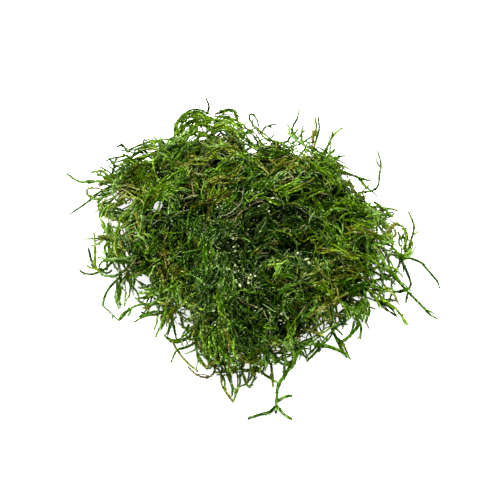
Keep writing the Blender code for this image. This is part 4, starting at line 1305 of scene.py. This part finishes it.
# Stray shoots that stand clear of the rim, from foot to tip, as pixels of the photo and a height
STRAYS = {
    "back_left_thin": [(207, 114, 11), (209, 107, 14), (206, 98, 16)],
    "back_arch": [(216, 114, 12), (226, 110, 14), (235, 111, 12), (238, 121, 9)],
    "back_left_a": [(127, 152, 9), (123, 145, 11), (117, 147, 12)],
    "back_left_b": [(112, 174, 8), (114, 165, 10), (109, 159, 11)],
    "left_back_a": [(109, 177, 8), (102, 171, 9), (92, 172, 9)],
    "left_back_long": [(112, 183, 7), (106, 181, 7), (88, 182, 7), (78, 181, 6), (67, 174, 7)],
    "left_long": [(120, 184, 7), (114, 186, 7), (101, 191, 7), (90, 200, 6), (82, 206, 5), (70, 214, 4)],
    "left_loop": [(100, 199, 6), (90, 197, 6), (87, 190, 8), (95, 188, 9), (103, 190, 8)],
    "left_short": [(112, 204, 6), (105, 203, 6), (98, 206, 5)],
    "left_upright_bright": [(100, 272, 4), (95, 266, 5), (95, 249, 9), (94, 235, 12)],
    "left_upright_dark": [(104, 270, 3), (94, 267, 3), (88, 248, 5)],
    "left_thin": [(116, 240, 6), (106, 238, 6), (86, 239, 5)],
    "left_drop_loop": [(112, 262, 4), (105, 269, 3), (93, 274, 1), (84, 273, 1), (80, 270, 1)],
    "left_inner": [(112, 240, 7), (105, 246, 7), (107, 256, 5), (107, 268, 3)],
    "front_left_loop": [(122, 274, 4), (114, 283, 3), (107, 292, 2), (103, 303, 1)],
    "front_left_sweep": [(165, 304, 5), (150, 304, 4), (138, 305, 3), (126, 312, 2), (118, 320, 1)],
    "front_left_v": [(118, 285, 4), (119, 295, 2), (120, 306, 1)],
    "front_left_low": [(165, 312, 4), (158, 314, 3), (145, 316, 2), (134, 322, 1)],
    "front_left_tuft_a": [(167, 300, 6), (164, 318, 4), (156, 336, 1)],
    "front_left_tuft_b": [(168, 300, 6), (172, 318, 4), (176, 337, 1)],
    "front_left_curl": [(194, 332, 5), (190, 336, 4), (182, 341, 3), (173, 342, 2), (165, 336, 2)],
    "front_hook": [(196, 342, 5), (187, 347, 4), (177, 350, 3), (172, 360, 1)],
    "front_arc_a": [(172, 340, 3), (178, 351, 2), (187, 362, 1), (198, 371, 1)],
    "front_arc_b": [(212, 362, 4), (215, 370, 2), (209, 377, 1), (197, 375, 1), (188, 367, 1)],
    "front_down_a": [(222, 368, 4), (221, 380, 3), (225, 391, 1.5), (233, 402, 0.8)],
    "front_down_b": [(240, 372, 4), (240, 383, 3), (236, 394, 1.5), (233, 402, 0.8)],
    "front_cup": [(241, 368, 4), (245, 380, 2), (249, 388, 1), (255, 376, 3)],
    "front_right_short": [(256, 366, 3), (264, 374, 2), (278, 383, 1)],
    "front_spray_trunk": [(304, 345, 5), (298, 354, 4), (287, 372, 2), (279, 384, 1.5), (277, 396, 1), (276, 409, 0.8)],
    "front_spray_left": [(276, 406, 0.8), (270, 412, 0.8), (262, 414, 0.8), (250, 418, 0.8)],
    "front_spray_right": [(277, 406, 0.8), (283, 413, 0.8), (290, 418, 0.8)],
    "front_spray_leaf": [(278, 401, 1), (284, 397, 1), (291, 396, 1)],
    "front_spray_back": [(284, 377, 1.5), (284, 371, 3), (285, 364, 5)],
    "front_right_a": [(314, 346, 4), (319, 346, 4), (328, 347, 3), (342, 352, 1.5), (350, 358, 0.8)],
    "front_right_b": [(330, 322, 6), (333, 331, 5), (339, 343, 2), (346, 356, 0.8)],
    "front_right_c": [(318, 340, 4), (320, 347, 3), (314, 354, 2), (308, 360, 1)],
    "front_right_d": [(358, 318, 5), (358, 325, 4), (351, 335, 2), (343, 341, 1)],
    "front_right_e": [(356, 318, 5), (361, 326, 4), (360, 338, 1)],
    "right_low_thick": [(380, 298, 6), (390, 305, 5), (397, 310, 4), (407, 323, 2)],
    "right_low_dark": [(374, 300, 5), (383, 303, 4), (392, 309, 2)],
    "right_long": [(390, 270, 8), (397, 279, 7), (407, 291, 6), (421, 305, 4), (429, 314, 3), (436, 318, 3)],
    "right_long_fork": [(408, 293, 6), (407, 297, 5), (406, 302, 4)],
    "right_upper_long": [(400, 256, 9), (409, 258, 9), (420, 262, 8), (425, 267, 7), (437, 281, 5), (439, 286, 5)],
    "right_hook": [(400, 256, 8), (407, 272, 6), (411, 285, 4), (404, 291, 3), (394, 292, 2), (389, 301, 2)],
    "right_upright": [(409, 250, 7), (411, 240, 10), (414, 229, 13), (413, 222, 15), (409, 213, 17)],
    "right_arc": [(404, 252, 6), (406, 236, 9), (402, 225, 11)],
    "right_back_a": [(374, 202, 10), (380, 206, 11), (386, 211, 11), (392, 216, 10)],
    "right_back_long": [(358, 193, 10), (371, 191, 11), (378, 186, 13), (379, 176, 15), (381, 165, 17), (378, 152, 19)],
    "right_back_flat": [(339, 170, 10), (352, 175, 11), (362, 179, 11), (370, 180, 11)],
    "back_right_a": [(320, 158, 10), (325, 151, 11), (333, 136, 13), (342, 128, 14)],
    "back_right_b": [(334, 164, 9), (336, 158, 10), (344, 156, 11)],
    "back_right_up": [(312, 154, 10), (314, 146, 11), (318, 134, 14), (319, 125, 15), (318, 117, 16)],
    "back_tall": [(287, 142, 11), (291, 135, 12), (293, 126, 14), (297, 119, 16), (299, 110, 17)],
    "back_tall_fork": [(291, 137, 12), (295, 133, 13), (298, 129, 14)],
    "back_low": [(262, 132, 10), (266, 126, 11), (272, 128, 11)],
}
STRAY_HUES = {
    "left_loop": OLIVE,
    "left_upright_bright": LIME,
    "left_upright_dark": DEEP,
    "back_left_thin": FOREST,
    "front_down_a": OLIVE,
    "right_low_dark": DEEP,
    "front_arc_a": OLIVE,
    "front_arc_b": BROWN,
}
STRAY_SIZES = {
    "front_spray_trunk": 1.9,
    "front_spray_left": 1.6,
    "front_spray_right": 1.6,
    "front_spray_leaf": 1.7,
    "left_back_long": 1.7,
    "right_low_thick": 1.6,
    "right_low_dark": 1.4,
    "left_upright_bright": 1.7,
    "left_upright_dark": 1.5,
    "left_loop": 1.2,
    "back_left_thin": 1.3,
    "back_tall": 1.35,
    "back_tall_fork": 1.2,
    "back_low": 1.2,
    "right_hook": 1.4,
    "right_long_fork": 1.4,
    "left_thin": 1.15,
    "right_back_long": 1.25,
    "right_upright": 1.45,
    "front_down_a": 0.9,
    "front_down_b": 0.9,
    "front_cup": 0.7,
    "front_arc_a": 1.2,
    "front_arc_b": 1.1,
}


def stray_shoots(draw):
    shoots = []
    for name, places in STRAYS.items():
        line = smooth_line([seen_at_height(px, py, max(height, LOWEST)) for px, py, height in places])
        common = draw.choice([FOREST, FOREST, FOREST, GRASS])
        hue = STRAY_HUES.get(name, common) + draw.normal(0, 0.03)
        size = STRAY_SIZES.get(name, 1.4) * draw.uniform(0.9, 1.1)
        shoot = Shoot(line, size, hue, 0.37 + draw.normal(0, 0.05), 1.1)
        shoots.append(shoot)
        if name != "back_left_thin":
            shoots += branchlets(draw, shoot, 30.0)
    return shoots


# Loose bunches at the rim, as a pixel of the photo, a height, a radius and a number of shoots
BUNCHES = {
    "back_left_low": (196, 132, 9, 5.5, 10),
    "back_left_high": (212, 126, 10, 5.5, 9),
    "back_left_right": (230, 127, 10, 4.5, 8),
    "left_back": (146, 155, 9, 5.0, 8),
    "left_back_low": (130, 165, 8, 5.0, 8),
    "left_back_rim": (110, 184, 6, 4.0, 6),
    "right_rim": (388, 218, 8, 3.5, 6),
    "right_bundle": (402, 244, 7, 3.0, 6),
}


def bunch_shoots(draw):
    """Shoots that wander inside a ball, so that the outer ones loop around it."""
    shoots = []
    for px, py, height, radius, count in BUNCHES.values():
        centre = seen_at_height(px, py, height)
        for index in range(count):
            aside = draw.normal(0, 1, 3)
            foot = centre + aside / np.linalg.norm(aside) * radius * draw.random() ** 0.4
            line = free_line(
                draw, foot, draw.uniform(0, TURN), draw.normal(0, 0.5), draw.uniform(7, 16), draw.normal(0, 0.16), 0.0
            )
            away = line - centre
            distance = np.linalg.norm(away, axis=1, keepdims=True)
            line = centre + away * np.minimum(radius * (1 + draw.normal(0, 0.08)) / np.maximum(distance, 0.1), 1.0)
            line[:, 2] = np.maximum(line[:, 2], LOWEST)
            hue = draw.choice([FOREST, GRASS, GRASS, GRASS, LIME]) + draw.normal(0, 0.03)
            shoot = Shoot(open_gaps(line), draw.uniform(0.6, 1.1), hue, 0.41 + draw.normal(0, 0.1))
            shoots.append(shoot)
            shoots += branchlets(draw, shoot, 6.0)
    return shoots


# Mesh building

def across_frame(along):
    """Two directions across a line for each of its directions along it."""
    steep = np.abs(along[:, 2:3]) > 0.9
    helper = np.where(steep, np.array([[1.0, 0.0, 0.0]]), np.array([[0.0, 0.0, 1.0]]))
    first = np.cross(along, helper)
    first /= np.linalg.norm(first, axis=1, keepdims=True)
    return first, np.cross(along, first)


def directions(points):
    along = np.gradient(points, axis=0)
    return along / np.maximum(np.linalg.norm(along, axis=1, keepdims=True), 1e-6)


STEM_SIDES = 3


def stem_arrays(shoot, draw):
    """Corners, triangles and palette places of one thin tube."""
    points = shoot.points
    first, second = across_frame(directions(points))
    t = np.linspace(0, 1, len(points))
    radius = STEM_RADIUS * shoot.size * (1 - 0.4 * t**4)
    if shoot.leafy < 0.2:
        radius = radius * (1.3 + 0.35 * np.sin(np.arange(len(points)) * 2.1 + draw.uniform(0, TURN)))
    turns = np.arange(STEM_SIDES) * TURN / STEM_SIDES
    ring = first[:, None] * np.cos(turns)[None, :, None] + second[:, None] * np.sin(turns)[None, :, None]
    corners = (points[:, None] + ring * radius[:, None, None]).reshape(-1, 3)
    low = np.arange(len(points) - 1)[:, None] * STEM_SIDES + np.arange(STEM_SIDES)[None]
    low_next = np.arange(len(points) - 1)[:, None] * STEM_SIDES + (np.arange(STEM_SIDES)[None] + 1) % STEM_SIDES
    up, up_next = low + STEM_SIDES, low_next + STEM_SIDES
    triangles = np.concatenate([np.stack([low, up_next, low_next], -1), np.stack([low, up, up_next], -1)], 1)
    light = shoot.light - 0.08 + shoot.tip_light * t + shoot.tones
    tone = np.repeat(light, STEM_SIDES)
    hue = np.full(len(corners), shoot.hue)
    return corners, triangles.reshape(-1, 3), np.stack([hue, tone], -1)


def leaf_arrays(shoot, draw):
    """Where each leaf of a shoot starts, its directions and its palette place."""
    length = shoot.length()
    count = int(length * LEAVES_PER_MM * shoot.leafy)
    run = (np.arange(count) + draw.uniform(0.2, 0.8, count)) / max(count, 1) * length
    t = run / length
    index = np.clip((run / STEM_STEP).astype(int), 0, len(shoot.points) - 2)
    part = (run / STEM_STEP - index)[:, None]
    base = shoot.points[index] * (1 - part) + shoot.points[index + 1] * part
    along = directions(shoot.points)
    along = along[index] * (1 - part) + along[index + 1] * part
    along /= np.linalg.norm(along, axis=1, keepdims=True)
    first, second = across_frame(along)
    turn = np.arange(count) * LEAF_TURN + draw.normal(0, 0.3, count)
    out = first * np.cos(turn)[:, None] + second * np.sin(turn)[:, None]
    size = shoot.size * (1 - 0.3 * t**4) * draw.uniform(0.8, 1.2, count)
    hue = shoot.hue + draw.normal(0, 0.018, count)
    light = shoot.light + shoot.tip_light * t + shoot.tones[index] + draw.normal(0, 0.17, count)
    glint = draw.random(count) < shoot.glints
    light = np.where(glint, draw.uniform(0.0, 0.6, count), light)
    return base, along, out, size, np.where(glint, PALE, hue), light


def build_leaves(base, along, out, size, hue, light, draw):
    """Two triangles for each leaf, folded along its middle, with its sides drawn in to the stem."""
    count = len(base)
    angle = draw.uniform(*LEAF_ANGLES, count)[:, None]
    ahead = along * np.cos(angle) + out * np.sin(angle)
    side = np.cross(along, out)
    length = (LEAF_LENGTH * size)[:, None]
    width = (LEAF_HALF_WIDTH * size)[:, None]
    start = base + out * STEM_RADIUS * 0.6
    belly = start + ahead * length * 0.42 - out * width * 0.45
    tip = start + ahead * length
    corners = np.stack([start, belly - side * width, tip, belly + side * width], 1).reshape(-1, 3)
    number = np.arange(count)[:, None] * 4
    triangles = np.concatenate([number + np.array([[0, 2, 1]]), number + np.array([[0, 3, 2]])], 1).reshape(-1, 3)
    spread_hue = np.array([0.0, -0.006, 0.0, 0.006])
    spread_light = np.array([-0.05, 0.0, 0.05, 0.0])
    palette = np.stack([hue[:, None] + spread_hue, light[:, None] + spread_light], -1).reshape(-1, 2)
    return corners, triangles, palette


def write_mesh(name, parts, material):
    """One object from lists of corners, triangles and palette places, each with its own smoothness."""
    corners, triangles, palette, smooth = [], [], [], []
    offset = 0
    for part_corners, part_triangles, part_palette, part_smooth in parts:
        corners.append(part_corners)
        triangles.append(part_triangles + offset)
        palette.append(part_palette)
        smooth.append(np.full(len(part_triangles), part_smooth))
        offset += len(part_corners)
    corners, triangles = np.concatenate(corners), np.concatenate(triangles)
    corners[:, 2] = np.maximum(corners[:, 2], 0.03)
    palette = np.clip(np.concatenate(palette), 0.01, 0.99)
    data = bpy.data.meshes.new(name)
    data.vertices.add(len(corners))
    data.vertices.foreach_set("co", (corners * MM).astype(np.float32).ravel())
    data.loops.add(triangles.size)
    data.loops.foreach_set("vertex_index", triangles.astype(np.int32).ravel())
    data.polygons.add(len(triangles))
    data.polygons.foreach_set("loop_start", np.arange(0, triangles.size, 3, dtype=np.int32))
    data.update(calc_edges=True)
    data.polygons.foreach_set("use_smooth", np.concatenate(smooth))
    chart = data.uv_layers.new(name="OFBake")
    chart.data.foreach_set("uv", palette[triangles.ravel()].astype(np.float32).ravel())
    data.materials.append(material)
    data.update()
    made = bpy.data.objects.new(name, data)
    bpy.context.scene.collection.objects.link(made)
    print(name, len(triangles), "triangles")
    return made


def moss_piece(name, shoots, draw, material):
    """A piece of the moss: the stems and leaves of these shoots."""
    stems = [stem_arrays(shoot, draw) + (True,) for shoot in shoots]
    leafy = [leaf_arrays(shoot, draw) for shoot in shoots if shoot.leafy >= 0.2]
    parts = stems
    if leafy:
        joined = [np.concatenate(values) for values in zip(*leafy)]
        parts = stems + [build_leaves(*joined, draw) + (False,)]
    piece = write_mesh(name, parts, material)
    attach(piece, "root")
    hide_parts("moss")
    return piece


# Materials

def new_material(name):
    material = bpy.data.materials.new(name)
    material.use_nodes = True
    tree = material.node_tree
    return material, tree, tree.nodes["Principled BSDF"]


def moss_material():
    """Wet leaves: hue by the palette's first direction, lightness by its second."""
    material, tree, shader = new_material("moss_leaves")
    chart = tree.nodes.new("ShaderNodeUVMap")
    chart.uv_map = "OFBake"
    split = tree.nodes.new("ShaderNodeSeparateXYZ")
    hues = tree.nodes.new("ShaderNodeValToRGB")
    ramp = hues.color_ramp
    while len(ramp.elements) < len(HUE_STOPS):
        ramp.elements.new(0.5)
    for element, (place, colour) in zip(ramp.elements, HUE_STOPS):
        element.position = place
        element.color = (*colour, 1.0)
    rise = tree.nodes.new("ShaderNodeMath")
    rise.operation = "POWER"
    rise.inputs[1].default_value = LIGHT_POWER
    lightness = tree.nodes.new("ShaderNodeMapRange")
    lightness.inputs["To Min"].default_value = DARKEST
    lightness.inputs["To Max"].default_value = LIGHTEST
    tint = tree.nodes.new("ShaderNodeVectorMath")
    tint.operation = "SCALE"
    # Painted sheen: the lightest palette places are mixed towards PALE_SHEEN
    paling = tree.nodes.new("ShaderNodeMapRange")
    paling.interpolation_type = "SMOOTHSTEP"
    paling.inputs["From Min"].default_value = 0.45
    paling.inputs["From Max"].default_value = 1.07
    paling.inputs["To Max"].default_value = 0.6
    pale = tree.nodes.new("ShaderNodeMix")
    pale.data_type = "RGBA"
    pale.inputs["B"].default_value = (*PALE_SHEEN, 1.0)
    gloss = tree.nodes.new("ShaderNodeMapRange")
    gloss.inputs["To Min"].default_value = 0.45
    gloss.inputs["To Max"].default_value = 0.22
    shine = tree.nodes.new("ShaderNodeMapRange")
    shine.inputs["From Min"].default_value = 0.3
    shine.inputs["From Max"].default_value = 1.0
    shine.inputs["To Max"].default_value = 0.3
    link = tree.links.new
    link(chart.outputs["UV"], split.inputs["Vector"])
    link(split.outputs["X"], hues.inputs["Fac"])
    link(split.outputs["Y"], rise.inputs[0])
    link(rise.outputs["Value"], lightness.inputs["Value"])
    link(hues.outputs["Color"], tint.inputs[0])
    link(lightness.outputs["Result"], tint.inputs["Scale"])
    link(split.outputs["Y"], paling.inputs["Value"])
    link(paling.outputs["Result"], pale.inputs["Factor"])
    link(tint.outputs["Vector"], pale.inputs["A"])
    link(pale.outputs["Result"], shader.inputs["Base Color"])
    link(split.outputs["Y"], gloss.inputs["Value"])
    link(gloss.outputs["Result"], shader.inputs["Roughness"])
    link(split.outputs["Y"], shine.inputs["Value"])
    link(shine.outputs["Result"], shader.inputs["Specular IOR Level"])
    shader.inputs["Specular Tint"].default_value = (0.85, 1.0, 0.25, 1.0)
    return material


def steel_material():
    """Drawn wire, dulled by water: fine grain with darker blotches."""
    material, tree, shader = new_material("dulled_steel")
    place = tree.nodes.new("ShaderNodeTexCoord")
    blotches = tree.nodes.new("ShaderNodeTexNoise")
    blotches.inputs["Scale"].default_value = 260.0
    blotches.inputs["Detail"].default_value = 4.0
    colours = tree.nodes.new("ShaderNodeValToRGB")
    colours.color_ramp.elements[0].position = 0.35
    colours.color_ramp.elements[0].color = (0.20, 0.19, 0.17, 1.0)
    colours.color_ramp.elements[1].position = 0.62
    colours.color_ramp.elements[1].color = (0.55, 0.56, 0.57, 1.0)
    roughness = tree.nodes.new("ShaderNodeMapRange")
    roughness.inputs["To Min"].default_value = 0.5
    roughness.inputs["To Max"].default_value = 0.25
    grain = tree.nodes.new("ShaderNodeTexNoise")
    grain.inputs["Scale"].default_value = 2600.0
    bump = tree.nodes.new("ShaderNodeBump")
    bump.inputs["Strength"].default_value = 0.25
    bump.inputs["Distance"].default_value = 0.00004
    link = tree.links.new
    link(place.outputs["Object"], blotches.inputs["Vector"])
    link(place.outputs["Object"], grain.inputs["Vector"])
    link(blotches.outputs["Fac"], colours.inputs["Fac"])
    link(colours.outputs["Color"], shader.inputs["Base Color"])
    link(blotches.outputs["Fac"], roughness.inputs["Value"])
    link(roughness.outputs["Result"], shader.inputs["Roughness"])
    link(grain.outputs["Fac"], bump.inputs["Height"])
    link(bump.outputs["Normal"], shader.inputs["Normal"])
    shader.inputs["Metallic"].default_value = 1.0
    return material


# Wires

WIRE_RING = 12
WIRE_POINTS = 38


def wire_arrays(centre, heading, half_length, height, draw):
    """One drawn wire: a round tube, a little wavy, with closed cut ends."""
    along = np.array([math.cos(heading), math.sin(heading), 0.0])
    aside = np.array([-along[1], along[0], 0.0])
    up = np.array([0.0, 0.0, 1.0])
    run = np.linspace(-half_length, half_length, WIRE_POINTS)
    wander = 0.06 * np.sin(run / 9 + draw.uniform(0, TURN))
    points = np.array([*centre, height]) + np.outer(run, along) + np.outer(wander, aside)
    turns = np.arange(WIRE_RING) * TURN / WIRE_RING
    ring = np.outer(np.cos(turns), aside) + np.outer(np.sin(turns), up)
    radius = np.full(WIRE_POINTS, WIRE_RADIUS)
    radius[[0, -1]] = WIRE_RADIUS * 0.8
    corners = (points[:, None] + ring[None] * radius[:, None, None]).reshape(-1, 3)
    low = np.arange(WIRE_POINTS - 1)[:, None] * WIRE_RING + np.arange(WIRE_RING)[None]
    side = np.arange(WIRE_POINTS - 1)[:, None] * WIRE_RING + (np.arange(WIRE_RING)[None] + 1) % WIRE_RING
    triangles = np.concatenate(
        [np.stack([low, side, side + WIRE_RING], -1), np.stack([low, side + WIRE_RING, low + WIRE_RING], -1)], 1
    ).reshape(-1, 3)
    first, last = len(corners), len(corners) + 1
    corners = np.concatenate([corners, points[:1], points[-1:]])
    around = np.arange(WIRE_RING)
    after = (around + 1) % WIRE_RING
    end = (WIRE_POINTS - 1) * WIRE_RING
    caps = np.concatenate([
        np.stack([np.full(WIRE_RING, first), after, around], -1),
        np.stack([np.full(WIRE_RING, last), around + end, after + end], -1),
    ])
    return corners, np.concatenate([triangles, caps]), np.zeros((len(corners), 2))


def weld_arrays(place):
    """A small bead of metal where two wires are welded."""
    rings, sides = 5, 10
    rise = np.linspace(-math.pi / 2, math.pi / 2, rings + 2)[1:-1]
    turns = np.arange(sides) * TURN / sides
    corners = [
        place + np.array([0.62 * math.cos(a) * math.cos(b), 0.62 * math.cos(a) * math.sin(b), 0.4 * math.sin(a)])
        for a in rise for b in turns
    ]
    corners += [place + np.array([0, 0, -0.4]), place + np.array([0, 0, 0.4])]
    triangles = []
    for ring in range(rings - 1):
        for index in range(sides):
            a, b = ring * sides + index, ring * sides + (index + 1) % sides
            triangles += [(a, b, b + sides), (a, b + sides, a + sides)]
    bottom, top, last = rings * sides, rings * sides + 1, (rings - 1) * sides
    for index in range(sides):
        after = (index + 1) % sides
        triangles += [(bottom, after, index), (top, last + index, last + after)]
    return np.array(corners), np.array(triangles), np.zeros((len(corners), 2))


def make_wires(draw, material):
    """Eight lower and eight upper wires, welded at each crossing."""
    half = (WIRES_EACH_WAY - 1) * WIRE_PITCH / 2
    offsets = (np.arange(WIRES_EACH_WAY) - (WIRES_EACH_WAY - 1) / 2) * WIRE_PITCH
    parts = []
    for heading, height in ((MESH_TURN, LOWER_WIRE_HEIGHT), (MESH_TURN + math.pi / 2, UPPER_WIRE_HEIGHT)):
        for offset in offsets:
            centre = (MESH_CENTRE[0] - math.sin(heading) * offset, MESH_CENTRE[1] + math.cos(heading) * offset)
            parts.append(wire_arrays(centre, heading, half + WIRE_STUB, height, draw) + (True,))
    for first in offsets:
        for second in offsets:
            x = MESH_CENTRE[0] + first * math.cos(MESH_TURN) - second * math.sin(MESH_TURN)
            y = MESH_CENTRE[1] + first * math.sin(MESH_TURN) + second * math.cos(MESH_TURN)
            height = (LOWER_WIRE_HEIGHT + UPPER_WIRE_HEIGHT) / 2
            parts.append(weld_arrays(np.array([x, y, height])) + (True,))
    wires = write_mesh("welded_wires", parts, material)
    wires.data.uv_layers.remove(wires.data.uv_layers["OFBake"])
    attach(wires, "root")
    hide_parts("mesh")


# Studio

FLOOR_SIDE = 3.0
FLOOR_GREY = 0.86
FLOOR_GLOW = 0.78


def make_floor():
    data = bpy.data.meshes.new("studio_floor")
    half = FLOOR_SIDE / 2
    data.from_pydata([(-half, -half, 0), (half, -half, 0), (half, half, 0), (-half, half, 0)], [], [(0, 1, 2, 3)])
    floor = bpy.data.objects.new("studio_floor", data)
    bpy.context.scene.collection.objects.link(floor)
    material, tree, shader = new_material("white_paper")
    shader.inputs["Base Color"].default_value = (FLOOR_GREY, FLOOR_GREY, FLOOR_GREY, 1.0)
    shader.inputs["Roughness"].default_value = 0.9
    shader.inputs["Specular IOR Level"].default_value = 0.1
    shader.inputs["Emission Color"].default_value = (1.0, 1.0, 1.0, 1.0)
    shader.inputs["Emission Strength"].default_value = FLOOR_GLOW
    data.materials.append(material)


def make_light(name, place, size, power):
    light = bpy.data.lights.new(name, "AREA")
    light.shape = "SQUARE"
    light.size = size
    light.energy = power
    lamp = bpy.data.objects.new(name, light)
    lamp.location = place
    lamp.rotation_euler = (Vector((0, 0, 0)) - Vector(place)).to_track_quat("-Z", "Y").to_euler()
    bpy.context.scene.collection.objects.link(lamp)


def make_studio():
    make_floor()
    make_light("softbox_above", (-0.08, 0.16, 0.7), 0.26, 13.0)
    world = bpy.data.worlds.new("white_room")
    world.use_nodes = True
    world.node_tree.nodes["Background"].inputs["Color"].default_value = (1.0, 1.0, 1.0, 1.0)
    world.node_tree.nodes["Background"].inputs["Strength"].default_value = 1.25
    scene = bpy.context.scene
    scene.world = world
    scene.view_settings.view_transform = "Standard"
    camera = bpy.data.cameras.new("photo_camera")
    camera.sensor_width = SENSOR_WIDTH
    camera.lens = SENSOR_WIDTH * VIEW_DISTANCE / VIEW_WIDTH
    camera.clip_start = 0.01
    viewer = bpy.data.objects.new("photo_camera", camera)
    viewer.location = EYE * MM
    viewer.rotation_euler = Vector(VIEW_FORWARD).to_track_quat("-Z", "Y").to_euler()
    scene.collection.objects.link(viewer)
    scene.camera = viewer


TRIANGLES_PER_MM = 2 * STEM_SIDES / STEM_STEP


def in_batches(shoots, most=190000):
    """Splits shoots into batches that each stay under a number of triangles."""
    batches, count = [[]], 0
    for shoot in shoots:
        cost = shoot.length() * (TRIANGLES_PER_MM + 2 * LEAVES_PER_MM * (shoot.leafy if shoot.leafy >= 0.2 else 0))
        if count + cost > most:
            batches.append([])
            count = 0
        batches[-1].append(shoot)
        count += cost
    return batches


def main():
    draw = np.random.default_rng(5)
    leaves = moss_material()
    top = outside_clearings(draw, top_shoots(draw) + twig_shoots(draw) + middle_shoots(draw) + fleck_shoots(draw))
    for number, batch in enumerate(in_batches(top)):
        moss_piece(f"moss_top_{number + 1}", batch, draw, leaves)
    moss_piece("moss_flank", outside_clearings(draw, flank_shoots(draw)), draw, leaves)
    moss_piece("moss_fringe", outside_clearings(draw, rim_shoots(draw) + fringe_shoots(draw)), draw, leaves)
    moss_piece("moss_locks", named_locks(draw), draw, leaves)
    moss_piece("moss_stray_shoots", stray_shoots(draw), draw, leaves)
    moss_piece("moss_bunches", outside_clearings(draw, bunch_shoots(draw)), draw, leaves)
    moss_piece("moss_core", outside_clearings(draw, core_shoots(draw), True), draw, leaves)
    moss_piece("moss_underside", outside_clearings(draw, under_shoots(draw), True), draw, leaves)
    make_wires(draw, steel_material())
    make_studio()


main()
